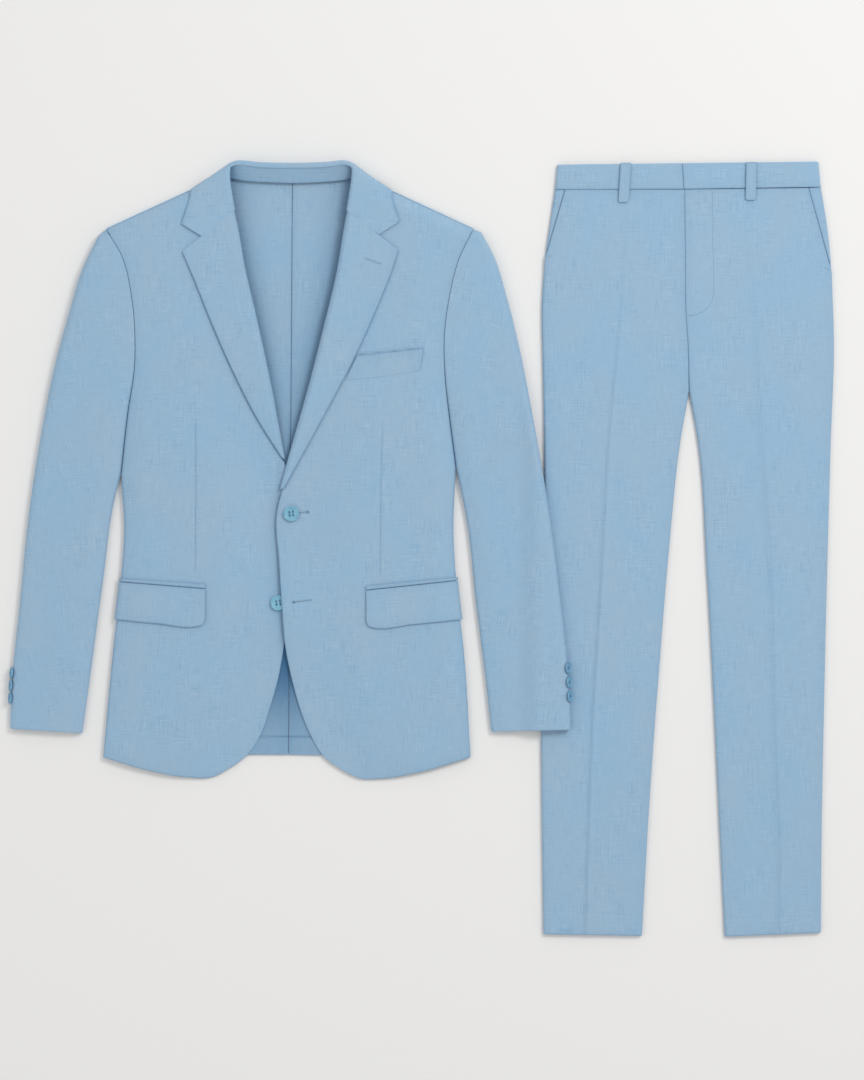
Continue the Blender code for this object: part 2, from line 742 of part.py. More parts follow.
def make_sleeve(side, outer, inner, armhole, ride=None):
    """A sleeve's two parts: the top, and the under part that lies below it."""
    sign = -1 if side == "right" else 1
    scye = curve(armhole, sign * SCYE_GAP)
    near = chain(curve(inner + (("armpit", *scye(0)),)), scye, CORNER)
    low = curve((("inner", *inner[0][1:]), ("outer", *outer[0][1:])))
    high = curve((("seam", *scye(1)), ("crown", *outer[-1][1:])))
    height, sink = profile(SLEEVE_HEIGHT), profile(ARMHOLE_SINK)
    folds = {
        "near": (SLEEVE_FOLD, sink),
        "far": (SLEEVE_EDGE, always(1.0)),
        "high": (SLEEVE_EDGE, always(1.0)),
    }
    top = Panel(
        near, curve(outer), low, high, lambda across, up, s, t: height(up), SLEEVE_MIDDLE, folds
    )
    folds = {
        "near": (UNDER_FOLD, profile(SLEEVE_UNDER_SINK)),
        "far": (UNDER_FOLD, always(1.0)),
        "high": (UNDER_FOLD, always(1.0)),
    }
    under = Panel(near, curve(outer), low, high, None, SLEEVE_MIDDLE, folds, under=True)
    top.ride = under.ride = ride
    cloth(f"sleeve_top_{side}", top, JACKET_CENTRE, (4, 5), (1, 1), CORNER)
    cloth(f"sleeve_under_{side}", under, JACKET_CENTRE, (4, 5), (2, 3), CORNER)
    return top


def make_cuff_buttons(side, sleeve, places, tilt):
    """Three buttons that kiss, on the sleeve's outer fold above the cuff."""
    for number, up in enumerate(places, start=1):
        # The place on the fold where the cloth leans as the button does.
        t = (up - sleeve.plan(1.0, 0.0)[1]) / sleeve.length(1.0)
        inside = NOSE * (1 - math.sin(math.radians(tilt)))
        s = 1 - inside / sleeve.width(t)
        out = sleeve.normal(s, t)
        place = sleeve.point(s, t) + out * (CUFF_GAP + CUFF_BUTTON[1] / 2)
        lean = math.degrees(math.acos(out[2]))
        turn = math.degrees(math.atan2(out[1], out[0]))
        button(f"cuff_button_{side}_{number}", JACKET_CENTRE, place, CUFF_BUTTON, lean, turn)


def make_hip_pocket(side, front, top, bottom, jet):
    """A flap hanging from a jet, both ending round the side fold."""

    def to_side(rows):
        return curve(rows[:-1] + (("side", *front.plan(1.0, front.locate(*rows[-1][1:])[1])),))

    length = abs(top[-1][1] - top[0][1])
    shares = toward_side(length, start=FLAP_CORNER)
    flap_top = to_side(top)
    laid(f"hip_flap_{side}", front, JACKET_CENTRE, to_side(bottom), flap_top, shares, rows=3)

    def jet_bottom(share):
        return flap_top(share) + (0, JET_GAP)

    shares = toward_side(length)
    laid(f"hip_jet_{side}", front, JACKET_CENTRE, jet_bottom, to_side(jet), shares)


def make_collar():
    """The collar leaf: turned over the fold, lying on the fronts and dropping behind the neck."""
    rows = np.array([row[1:] for row in COLLAR], float)
    places = np.arange(len(rows), dtype=float)
    table = []
    for station in np.linspace(0, len(rows) - 1, 2 * len(rows) - 1):
        row = read_smooth(rows, places, station)
        fold, crown_height, drop = row[0:2], row[2], row[3]
        middle, middle_height, edge, edge_height = row[4:6], row[6], row[7:9], row[9]
        out = (middle - fold) / np.linalg.norm(middle - fold)
        section = [(*fold, crown_height - drop - LIP)]
        for i in range(ROUND + 1):
            angle = 0.5 * math.pi * i / ROUND
            place = fold + out * COLLAR_ROLL * (1 - math.cos(angle))
            section.append((*place, crown_height - drop * (1 - math.sin(angle))))
        section.append((*middle, middle_height))
        section.append((*((middle + edge) / 2), (middle_height + edge_height) / 2 + COLLAR_BOW))
        section.append((*edge, edge_height))
        table.append(section)
    wall("collar", table, JACKET_CENTRE)


def make_stand():
    """The collar stand, from the neck seam up to the inside of the collar's fold."""
    rows = np.array([row[1:] for row in STAND], float)
    places = np.arange(len(rows), dtype=float)
    table = []
    for station in np.linspace(0, len(rows) - 1, 9):
        row = read_smooth(rows, places, station)
        seam, top = row[0:3], row[3:6]
        middle = (seam + top) / 2 + (0, 0, STAND_HOLLOW)
        table.append([seam, middle, top])
    wall("collar_stand", table, JACKET_CENTRE)


def make_leg(side, outside, inside, pocket, hip, waist, waist_back, hem):
    """One side of the trousers: front, back, and the slant pocket's facing."""
    sign = -1 if side == "right" else 1
    centre = curve(CENTRE_SEAM, sign * SEAM / 2)
    leg = curve(inside[:-1] + (("crotch", *centre(0)),))
    near = chain(leg, centre, CROTCH)
    far = chain(curve(outside), curve(pocket), HIP)
    high = curve((("centre", *centre(1)),) + waist[1:])
    top_sink = profile(CROTCH_SINK)
    folds = {"near": (LEG_FOLD, top_sink), "far": (LEG_FOLD, profile(POCKET_SINK))}
    front = Panel(
        near, far, curve(hem), high, lambda across, up, s, t: LEG_HEIGHT, LEG_MIDDLE, folds
    )
    cloth(f"trousers_front_{side}", front, TROUSERS_CENTRE, (5, 3), (1, 1), CROTCH)

    back_far = chain(curve(outside), curve(hip), HIP)
    back_high = curve((("centre", *centre(1)),) + waist_back[1:])
    folds = {"near": (UNDER_FOLD, profile(SEAT_SINK)), "far": (UNDER_FOLD, always(1.0))}
    back = Panel(near, back_far, curve(hem), back_high, None, LEG_MIDDLE, folds, under=True)
    cloth(f"trousers_back_{side}", back, TROUSERS_CENTRE, (7, 4), (1, 1), CROTCH)

    mouth = curve(pocket, sign * FACING_GAP)
    edge = curve(hip)
    share = FACING_START
    low = curve((("mouth", *mouth(share)), ("hip", *edge(share))))
    top = curve((("mouth", *mouth(1)), ("hip", *edge(1))))
    folds = {"far": (LEG_FOLD, always(1.0))}
    facing = Panel(
        lambda t: mouth(share + (1 - share) * t),
        lambda t: edge(share + (1 - share) * t),
        low,
        top,
        lambda across, up, s, t: LEG_HEIGHT - FACING_DROP,
        LEG_MIDDLE,
        folds,
    )
    cloth(f"pocket_facing_{side}", facing, TROUSERS_CENTRE, (2, 2), (1, 1))


def make_waistband(side, outer):
    """Half of the front waistband."""
    sign = -1 if side == "right" else 1
    near, far = curve(BAND_CENTRE, sign * SEAM / 2), curve(outer)
    low = curve((("centre", *near(0)), ("side", *far(0))))
    high = curve((("centre", *near(1)), ("side", *far(1))))
    folds = {"far": (LEG_FOLD, always(1.0))}
    band = Panel(near, far, low, high, lambda across, up, s, t: BAND_HEIGHT, LEG_MIDDLE, folds)
    cloth(f"waistband_front_{side}", band, TROUSERS_CENTRE, (1, 1), (1, 1))


def make_waistband_back():
    """The waistband behind, in one piece from side to side."""
    near, far = curve(BAND_RIGHT), curve(BAND_LEFT)
    low = curve((("right", *near(0)), ("left", *far(0))))
    high = curve((("right", *near(1)), ("left", *far(1))))
    folds = {edge: (UNDER_FOLD, always(1.0)) for edge in ("near", "far")}
    band = Panel(near, far, low, high, None, LEG_MIDDLE, folds, under=True)
    cloth("waistband_back", band, TROUSERS_CENTRE, (1, 1), (2, 2))


def make_belt_loop(side, low_across, top_across, low_up, top_up):
    """A belt loop, sewn on below the band and at its top edge."""
    height = profile(LOOP_HEIGHT)
    table = []
    for share in np.linspace(0, 1, 7):
        across = low_across + (top_across - low_across) * share
        up = low_up + (top_up - low_up) * share
        over = height(up)
        table.append([(across + LOOP_WIDTH * part, up, over) for part in (-0.5, 0, 0.5)])
    wall(f"belt_loop_{side}", table, TROUSERS_CENTRE)


def make_jacket():
    right = make_front(
        "right",
        FRONT_EDGE_RIGHT,
        ROLL_RIGHT,
        SIDE_RIGHT,
        ARMHOLE_RIGHT,
        HEM_RIGHT,
        SHOULDER_RIGHT,
        RIGHT_EDGE_HEIGHT,
    )
    left = make_front(
        "left",
        FRONT_EDGE_LEFT,
        ROLL_LEFT,
        SIDE_LEFT,
        ARMHOLE_LEFT,
        HEM_LEFT,
        SHOULDER_LEFT,
        LEFT_EDGE_HEIGHT,
    )
    make_lapel("right", right, ROLL_RIGHT, LAPEL_EDGE_RIGHT)
    make_lapel("left", left, ROLL_LEFT, LAPEL_EDGE_LEFT)
    make_collar()
    make_stand()
    make_back("right", BACK_HEM_RIGHT, BACK_PANEL_RIGHT, ARMHOLE_RIGHT, NECK_RIGHT, SHOULDER_RIGHT)
    make_back("left", BACK_HEM_LEFT, BACK_PANEL_LEFT, ARMHOLE_LEFT, NECK_LEFT, SHOULDER_LEFT)
    make_side_body("right", SIDE_RIGHT, ARMHOLE_RIGHT, BACK_PANEL_RIGHT)
    make_side_body("left", SIDE_LEFT, ARMHOLE_LEFT, BACK_PANEL_LEFT)

    def over_trousers(across):
        share = (across + JACKET_CENTRE[0] - RIDE_FROM) / (RIDE_TO - RIDE_FROM)
        share = min(max(share, 0.0), 1.0)
        return RIDE * share * share * (3 - 2 * share)

    sleeve = make_sleeve("right", SLEEVE_OUTER_RIGHT, SLEEVE_INNER_RIGHT, ARMHOLE_RIGHT)
    make_cuff_buttons("right", sleeve, CUFF_BUTTONS_RIGHT, BUTTON_TILT_RIGHT)
    sleeve = make_sleeve(
        "left", SLEEVE_OUTER_LEFT, SLEEVE_INNER_LEFT, ARMHOLE_LEFT, over_trousers
    )
    make_cuff_buttons("left", sleeve, CUFF_BUTTONS_LEFT, BUTTON_TILT_LEFT)
    make_hip_pocket("right", right, FLAP_RIGHT_TOP, FLAP_RIGHT_BOTTOM, JET_RIGHT)
    make_hip_pocket("left", left, FLAP_LEFT_TOP, FLAP_LEFT_BOTTOM, JET_LEFT)
    shares = np.linspace(0, 1, 5)
    laid("chest_welt", left, JACKET_CENTRE, curve(WELT_BOTTOM), curve(WELT_TOP), shares, rows=2)
    for name, front, place in (
        ("front_button_upper", left, UPPER_BUTTON),
        ("front_button_lower", right, LOWER_BUTTON),
    ):
        height = front.face(*place) + BUTTON_GAP + FRONT_BUTTON[1] / 2
        button(name, JACKET_CENTRE, (*place, height), FRONT_BUTTON)


def make_trousers():
    make_leg(
        "right",
        OUTSIDE_LEG_RIGHT,
        INSIDE_LEG_RIGHT,
        POCKET_RIGHT,
        HIP_RIGHT,
        WAIST_SEAM_RIGHT,
        WAIST_BACK_RIGHT,
        LEG_HEM_RIGHT,
    )
    make_leg(
        "left",
        OUTSIDE_LEG_LEFT,
        INSIDE_LEG_LEFT,
        POCKET_LEFT,
        HIP_LEFT,
        WAIST_SEAM_LEFT,
        WAIST_BACK_LEFT,
        LEG_HEM_LEFT,
    )
    make_waistband("right", BAND_RIGHT)
    make_waistband("left", BAND_LEFT)
    make_waistband_back()
    for row in LOOPS:
        make_belt_loop(*row)


for old in list(bpy.data.objects):
    bpy.data.objects.remove(old, do_unlink=True)
make_jacket()
make_trousers()
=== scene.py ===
"""The looks of a light-blue linen suit laid flat: a jacket, with its trousers beside it.

Patterns are in millimetres, as on a cutter's table: across is measured from a garment's centre
line, towards the wearer's left, and up from its hem. Each piece is a fine grid of points laid on
its pattern, lifted to the height at which the cloth lies, and thickened."""

import math

import bmesh
import bpy
import numpy as np
from mathutils import Euler, Matrix, Vector


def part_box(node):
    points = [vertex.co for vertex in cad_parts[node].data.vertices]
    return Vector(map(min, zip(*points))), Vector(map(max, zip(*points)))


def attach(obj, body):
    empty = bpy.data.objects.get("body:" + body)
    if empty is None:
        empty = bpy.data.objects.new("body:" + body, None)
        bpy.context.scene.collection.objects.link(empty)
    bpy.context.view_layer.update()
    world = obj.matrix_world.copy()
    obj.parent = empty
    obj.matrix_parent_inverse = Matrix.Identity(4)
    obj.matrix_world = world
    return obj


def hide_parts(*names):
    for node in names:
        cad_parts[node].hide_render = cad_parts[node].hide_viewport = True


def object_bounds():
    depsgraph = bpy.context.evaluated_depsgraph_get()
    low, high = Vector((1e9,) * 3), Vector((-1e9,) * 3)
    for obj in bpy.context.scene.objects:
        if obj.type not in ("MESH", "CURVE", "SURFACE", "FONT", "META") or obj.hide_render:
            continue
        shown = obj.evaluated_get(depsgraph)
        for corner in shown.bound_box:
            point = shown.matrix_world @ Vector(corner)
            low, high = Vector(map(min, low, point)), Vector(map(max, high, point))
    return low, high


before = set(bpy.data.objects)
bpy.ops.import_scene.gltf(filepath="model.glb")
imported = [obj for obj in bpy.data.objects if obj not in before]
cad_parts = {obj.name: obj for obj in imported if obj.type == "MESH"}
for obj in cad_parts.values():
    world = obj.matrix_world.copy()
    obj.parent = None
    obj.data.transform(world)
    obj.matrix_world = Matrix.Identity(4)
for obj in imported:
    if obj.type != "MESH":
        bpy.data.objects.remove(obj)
cad_box = [list(corner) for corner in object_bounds()]


# The board that the suit is laid on: large, pale and matt, with a sprayed surface so fine that
# it hardly shows.
BOARD_SIZE = 12.0
BOARD_COLOUR = (0.875, 0.868, 0.853, 1.0)


class Strand:
    """A node's output that can stand in a sum: each sign adds one Math node."""

    def __init__(self, finish, output):
        self.finish, self.output = finish, output

    def math(self, operation, first, second=0.0):
        return self.finish.node("ShaderNodeMath", {"operation": operation}, {0: first, 1: second})

    def __add__(self, other):
        return self.math("ADD", self, other)

    def __sub__(self, other):
        return self.math("SUBTRACT", self, other)

    def __rsub__(self, other):
        return self.math("SUBTRACT", other, self)

    def __mul__(self, other):
        return self.math("MULTIPLY", self, other)

    def __abs__(self):
        return self.math("ABSOLUTE", self)

    __radd__, __rmul__ = __add__, __mul__


class Finish:
    """A material, with its nodes."""

    def __init__(self, name, **fixed):
        self.material = bpy.data.materials.new(name)
        self.material.use_nodes = True
        self.tree = self.material.node_tree
        self.shader = self.tree.nodes["Principled BSDF"]
        for socket, value in fixed.items():
            self.shader.inputs[socket.replace("_", " ")].default_value = value

    def plug(self, value, socket):
        if isinstance(value, Strand):
            self.tree.links.new(value.output, socket)
        else:
            socket.default_value = value

    def node(self, kind, settings=None, values=None, output=0):
        """One node: its type, its settings, and the values or links of its sockets."""
        made = self.tree.nodes.new(kind)
        for setting, value in (settings or {}).items():
            setattr(made, setting, value)
        for socket, value in (values or {}).items():
            self.plug(value, made.inputs[socket])
        return Strand(self, made.outputs[output])

    def blend(self, share, first, second):
        """One colour turning into another."""
        return self.node(
            "ShaderNodeMix", {"data_type": "RGBA"}, {0: share, 6: first, 7: second}, output=2
        )

    def limit(self, value, low, high):
        """0 below the low value, 1 above the high one, and straight between them."""
        return self.node("ShaderNodeMapRange", {}, {0: value, 1: low, 2: high})


def board_finish():
    finish = Finish("sprayed board", Roughness=0.9)
    place = finish.node("ShaderNodeTexCoord", output=3)
    grain = finish.node("ShaderNodeTexNoise", {}, {"Vector": place, "Scale": 900.0})
    tone = finish.blend(grain, BOARD_COLOUR, tuple(0.985 * part for part in BOARD_COLOUR))
    finish.plug(tone, finish.shader.inputs["Base Color"])
    return finish.material


form = bmesh.new()
bmesh.ops.create_grid(form, x_segments=4, y_segments=4, size=BOARD_SIZE / 2)
board_mesh = bpy.data.meshes.new("board")
form.to_mesh(board_mesh)
form.free()
board = bpy.data.objects.new("board", board_mesh)
bpy.context.collection.objects.link(board)
board_mesh.materials.append(board_finish())


# The camera, straight above the suit and a little towards the trousers and the collars, and the
# light: an even white room, with one large soft lamp high on the trousers' side.
VIEW_HEIGHT = 3.877
VIEW_OFF_CENTRE = (0.0145, 0.0114)
LENS = 100.0
ROOM_LIGHT = 0.655
LAMPS = (
    # place, side of the square lamp, watts
    ((1.9, 1.7, 2.9), 1.1, 48.0),
    ((-2.4, 0.2, 3.2), 2.6, 15.0),
)

middle = [(low + high) / 2 for low, high in zip(*cad_box)]
camera = bpy.data.objects.new("camera", bpy.data.cameras.new("camera"))
camera.data.lens = LENS
camera.data.clip_end = 50.0
camera.location = (middle[0] + VIEW_OFF_CENTRE[0], middle[1] + VIEW_OFF_CENTRE[1], VIEW_HEIGHT)
bpy.context.collection.objects.link(camera)
bpy.context.scene.camera = camera
for number, (place, side, power) in enumerate(LAMPS):
    lamp = bpy.data.objects.new(f"lamp {number}", bpy.data.lights.new(f"lamp {number}", "AREA"))
    lamp.data.size = side
    lamp.data.energy = power
    lamp.location = place
    lamp.rotation_euler = (-lamp.location).to_track_quat("-Z", "Y").to_euler()
    bpy.context.collection.objects.link(lamp)
room = bpy.data.worlds.new("room")
room.use_nodes = True
room.node_tree.nodes["Background"].inputs["Color"].default_value = (1.0, 1.0, 1.0, 1.0)
room.node_tree.nodes["Background"].inputs["Strength"].default_value = ROOM_LIGHT
bpy.context.scene.world = room
bpy.context.scene.view_settings.view_transform = "Standard"


# The jacket's back: two panels joined by the centre seam, in the same linen as the rest, lying
# flat on the board. It shows inside the neck and below the cutaway fronts, and carries the
# back hem's turned-up edge. This is the first cloth, so what all the cloth needs is made here.
CLOTH = 1.6
SEAM = 0.15  # the groove between two pieces sewn together, each with its edge rolled over
SCYE_GAP = 0.5
ROLLED_EDGE, ROLLED_DROP = 1.9, 0.75  # how far in a turned edge rounds over, and by how much
GRID_STEP = 3.6
UNDER_STEP = 8.0
BODY_MIDDLE = 5.0
UNDER_FOLD = 4.0
FIBRE_COLOUR, CLOUDY_FIBRE = (0.300, 0.480, 0.655, 1.0), (0.322, 0.482, 0.635, 1.0)
PALE_FIBRE, DEEP_FIBRE = (0.420, 0.588, 0.735, 1.0), (0.196, 0.362, 0.545, 1.0)
# Painted shade colours: the dark line along the pieces' edges, and where the cloth lies deep.
PAINTED_EDGE_SHADE, PAINTED_HOLLOW_SHADE = (0.07, 0.20, 0.38, 1.0), (0.012, 0.11, 0.25, 1.0)
BACK_SEAM = (("hem", -2, 3), ("waist", 0, 300), ("neck", 3, 743))
BACK_HEM_RIGHT = (("seam", -2, 3), ("front gap", -60, 3), ("panel", -178, 0))
BACK_HEM_LEFT = (("seam", -2, 3), ("front gap", 45, 2), ("panel", 172, 0))
BACK_PANEL_RIGHT = (("hem", -178, 0), ("waist", -160, 280), ("armhole", -206, 455))
BACK_PANEL_LEFT = (("hem", 172, 0), ("waist", 158, 280), ("armhole", 204, 455))
NECK_RIGHT = (("centre", 3, 743), ("side", -48, 745), ("neck point", -76, 749))
NECK_LEFT = (("centre", 3, 743), ("side", 53, 745), ("neck point", 79, 749))
ARMHOLE_RIGHT = (
    ("armpit", -218, 364), ("scye", -208, 449), ("chest", -200, 500), ("front pitch", -199, 543),
    ("upper chest", -203, 592), ("shoulder run", -216, 646), ("shoulder", -237, 681),
)
ARMHOLE_LEFT = (
    ("armpit", 214, 374), ("scye", 206, 435), ("chest", 200, 490), ("front pitch", 199, 544),
    ("upper chest", 205, 590), ("shoulder run", 218, 642), ("shoulder", 237, 681),
)
SHOULDER_RIGHT = (
    ("neck point", -79, 750), ("collar", -104, 738), ("collar edge", -130, 730),
    ("beside the collar", -146, 722.7), ("run", -165, 714), ("outer run", -200, 698),
    ("shoulder", -237, 681),
)
SHOULDER_LEFT = (
    ("neck point", 82, 750), ("collar", 106, 738), ("collar edge", 133, 729),
    ("beside the collar", 150, 721.2), ("run", 168, 712.9), ("outer run", 200, 698.1),
    ("shoulder", 237, 681),
)
BACK_CORNER = 0.6
BACK_LENGTH = 742.0
BACK_HEM_UP = 26.0  # where the turned-up hem is caught down inside
NECK_LINE_AT = 2.8  # how far the centre seam stands to the left where the neck starts

# The pattern's centre and hem, on the board, in millimetres.
JACKET = (
    1000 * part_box("jacket_back_right")[1].x - NECK_LINE_AT,
    1000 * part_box("jacket_back_right")[0].y,
)


def between(points, places, at):
    """The points at places on a soft line through the given ones."""
    points, places = np.asarray(points, float), np.asarray(places, float)
    slopes = np.gradient(points, places, axis=0)
    at = np.clip(at, places[0], places[-1])
    i = np.clip(np.searchsorted(places, at, side="right") - 1, 0, len(places) - 2)
    gap, u = places[i + 1] - places[i], (at - places[i]) / (places[i + 1] - places[i])
    if points.ndim > 1:
        gap, u = gap[..., None], u[..., None]
    line = (2 * u**3 - 3 * u**2 + 1) * points[i] + (u**3 - 2 * u**2 + u) * gap * slopes[i]
    return line + (3 * u**2 - 2 * u**3) * points[i + 1] + (u**3 - u**2) * gap * slopes[i + 1]


def profile(rows):
    """A value that follows a table of place and value, and never passes its rows."""
    places, values = (np.array(column, float) for column in zip(*rows))

    def read(place):
        i = np.clip(np.searchsorted(places, place) - 1, 0, len(places) - 2)
        low = np.minimum(values[i], values[i + 1])
        return np.clip(between(values, places, place), low, np.maximum(values[i], values[i + 1]))

    return read


def curve(rows, shift=0.0):
    """A soft edge through a table's rows, read by the share of its length."""
    points = np.array([row[1:] for row in rows], float) + (shift, 0)
    steps = np.linalg.norm(np.diff(points, axis=0), axis=1)
    places = np.concatenate(([0.0], np.cumsum(steps)))
    return lambda share: between(points, places, np.asarray(share, float) * places[-1])


def chain(first, second, corner):
    """Two edges end to end, meeting at a corner that lies at a share of the whole."""

    def read(share):
        share = np.asarray(share, float)
        before = first(np.minimum(share / corner, 1))
        after = second(np.maximum((share - corner) / (1 - corner), 0))
        return np.where((share <= corner)[..., None], before, after)

    return read


def always(value):
    return lambda place: np.full_like(np.asarray(place, float), value)


def quarter_round(inside):
    """How far a round edge has dropped, at a share of the way in from it."""
    return 1 - np.sqrt(1 - (1 - inside) ** 2)


NOSE = 4.0  # the radius of the cloth's own turn round a fold


def rounded(reach):
    """A fold that drops all the way along its edge."""
    return reach, always(1.0), NOSE


def relief(rows):
    """Soft troughs and ridges, listed one by one: from across, up; to across, up; half width, rise."""

    def read(across, up):
        total = np.zeros_like(across)
        for a0, u0, a1, u1, half, rise in rows:
            run = np.array((a1 - a0, u1 - u0), float)
            along = ((across - a0) * run[0] + (up - u0) * run[1]) / (run @ run)
            aside = ((across - a0) * run[1] - (up - u0) * run[0]) / np.linalg.norm(run)
            taper = np.clip(1 - (2 * along - 1) ** 4, 0, 1)
            total = total + rise * taper * np.exp(-((aside / half) ** 2))
        return total

    return read


class Panel:
    """A piece of cloth between four edges. near and far run up, low and high run across.

    folds gives, for an edge that rounds down, its width, its depth (the share of the drop to
    the fold's middle) and the radius of its turn. rolled names the edges that are turned under.
    detail adds creases and seams to the height."""

    def __init__(self, near, far, low, high, height, middle, folds=None, **more):
        self.near, self.far, self.low, self.high = near, far, low, high
        self.height, self.middle, self.folds = height, middle, folds or {}
        self.under = more.get("under", False)
        self.ride = more.get("ride")
        self.rolled = more.get("rolled", ())
        self.detail = more.get("detail")

    def plan(self, s, t):
        s, t = np.broadcast_arrays(np.asarray(s, float), np.asarray(t, float))
        a, b = s[..., None], t[..., None]
        low, high = self.low, self.high
        ruled = (1 - a) * self.near(t) + a * self.far(t) + (1 - b) * low(s) + b * high(s)
        ends = (1 - b) * ((1 - a) * low(0) + a * low(1)) + b * ((1 - a) * high(0) + a * high(1))
        return ruled - ends

    def width(self, t):
        return np.linalg.norm(self.far(t) - self.near(t), axis=-1)

    def length(self, s):
        return np.linalg.norm(self.high(s) - self.low(s), axis=-1)

    def spans(self, s, t):
        """How far a point is from each edge."""
        width, length = self.width(t), self.length(s)
        across = {"near": s * width, "far": (1 - s) * width}
        return {**across, "low": t * length, "high": (1 - t) * length}

    def rounding(self, spans, across, up, nose):
        edge_nose = slope = np.ones_like(across)
        for edge, (reach, depth, radius) in self.folds.items():
            sink = depth(across if edge == "high" else up)
            turn = np.minimum(nose, radius(up) if callable(radius) else radius)
            inside = np.clip(spans[edge] / turn, 0, 1)
            edge_nose = edge_nose * (1 - sink * quarter_round(inside))
            inside = np.clip(spans[edge] / reach, 0, 1)
            slope = slope * (1 - sink * (1 - np.sin(0.5 * np.pi * inside)))
        return edge_nose, slope

    def roll(self, spans):
        """How far the outer face drops where an edge is turned under."""
        drop = 0.0
        for edge in self.rolled:
            inside = np.clip(spans[edge] / ROLLED_EDGE, 0, 1)
            drop = np.maximum(drop, ROLLED_DROP * quarter_round(inside))
        return drop

    def point(self, s, t):
        """The outer face: its across, up and height."""
        s, t = np.broadcast_arrays(np.asarray(s, float), np.asarray(t, float))
        place = self.plan(s, t)
        across, up = place[..., 0], place[..., 1]
        spans = self.spans(s, t)
        if self.under:
            drop = self.middle - SEAM - CLOTH / 2
            z = drop * (1 - self.rounding(spans, across, up, drop)[0])
        else:
            rise = self.height(across, up, s, t) - self.middle
            edge_nose, slope = self.rounding(spans, across, up, NOSE)
            nose = np.minimum(NOSE, rise)
            z = self.middle + nose * edge_nose + (rise - nose) * slope - self.roll(spans)
        if self.detail:
            z = z + self.detail(across, up)
        if self.ride:
            z = z + self.ride(across)
        return np.stack((across, up, z), axis=-1)

    def normal(self, s, t):
        step = 0.002
        side = self.point(np.minimum(s + step, 1), t) - self.point(np.maximum(s - step, 0), t)
        rise = self.point(s, np.minimum(t + step, 1)) - self.point(s, np.maximum(t - step, 0))
        out = np.cross(side, rise)
        return out * np.sign(out[..., 2:]) / np.linalg.norm(out, axis=-1, keepdims=True)

    def locate(self, across, up):
        """The shares s and t at which the panel passes over places."""
        goal = np.stack(np.broadcast_arrays(np.asarray(across, float), up), axis=-1)
        s = t = np.full(goal.shape[:-1], 0.5)
        for _ in range(10):
            here = self.plan(s, t)
            step_s, step_t = (np.where(share < 0.5, 0.001, -0.001) for share in (s, t))
            to_s = (self.plan(s + step_s, t) - here) / step_s[..., None]
            to_t = (self.plan(s, t + step_t) - here) / step_t[..., None]
            miss = goal - here
            area = to_s[..., 0] * to_t[..., 1] - to_s[..., 1] * to_t[..., 0]
            s = s + (miss[..., 0] * to_t[..., 1] - miss[..., 1] * to_t[..., 0]) / area
            t = t + (to_s[..., 0] * miss[..., 1] - to_s[..., 1] * miss[..., 0]) / area
            s, t = np.clip(s, 0, 1), np.clip(t, 0, 1)
        return s, t

    def over(self, across, up, lift=0.0):
        """The points that lie on the panel over places, moved out from it."""
        s, t = self.locate(across, up)
        return self.point(s, t) + self.normal(s, t) * lift


def following(panel, places):
    """The panel's points, with a middle column along a line, so that it is true in the cloth."""
    share_at = profile(np.column_stack(panel.locate(*places.T)[::-1]))

    def placed(g, h):
        c = share_at(h)
        return panel.point(np.where(g <= 0.5, 2 * g * c, c + (2 * g - 1) * (1 - c)), h)

    return placed


def spread(length, first=GRID_STEP, last=GRID_STEP, step=GRID_STEP):
    """Shares of a length, a step apart, with finer steps at its start and its end."""

    def grown(gap):
        gaps = []
        while gap < 0.8 * step:
            gaps.append(gap)
            gap *= 1.35
        return gaps

    start, end = grown(first), grown(last)
    rest = length - sum(start) - sum(end)
    count = max(1, round(rest / step))
    places = np.cumsum([0.0] + start + [rest / count] * count + end[::-1])
    return places / places[-1]


def joined(first, second, corner):
    """Two spreads end to end, meeting at a corner."""
    return np.concatenate((first * corner, corner + second[1:] * (1 - corner)))


THREAD_WIDTH = 0.75


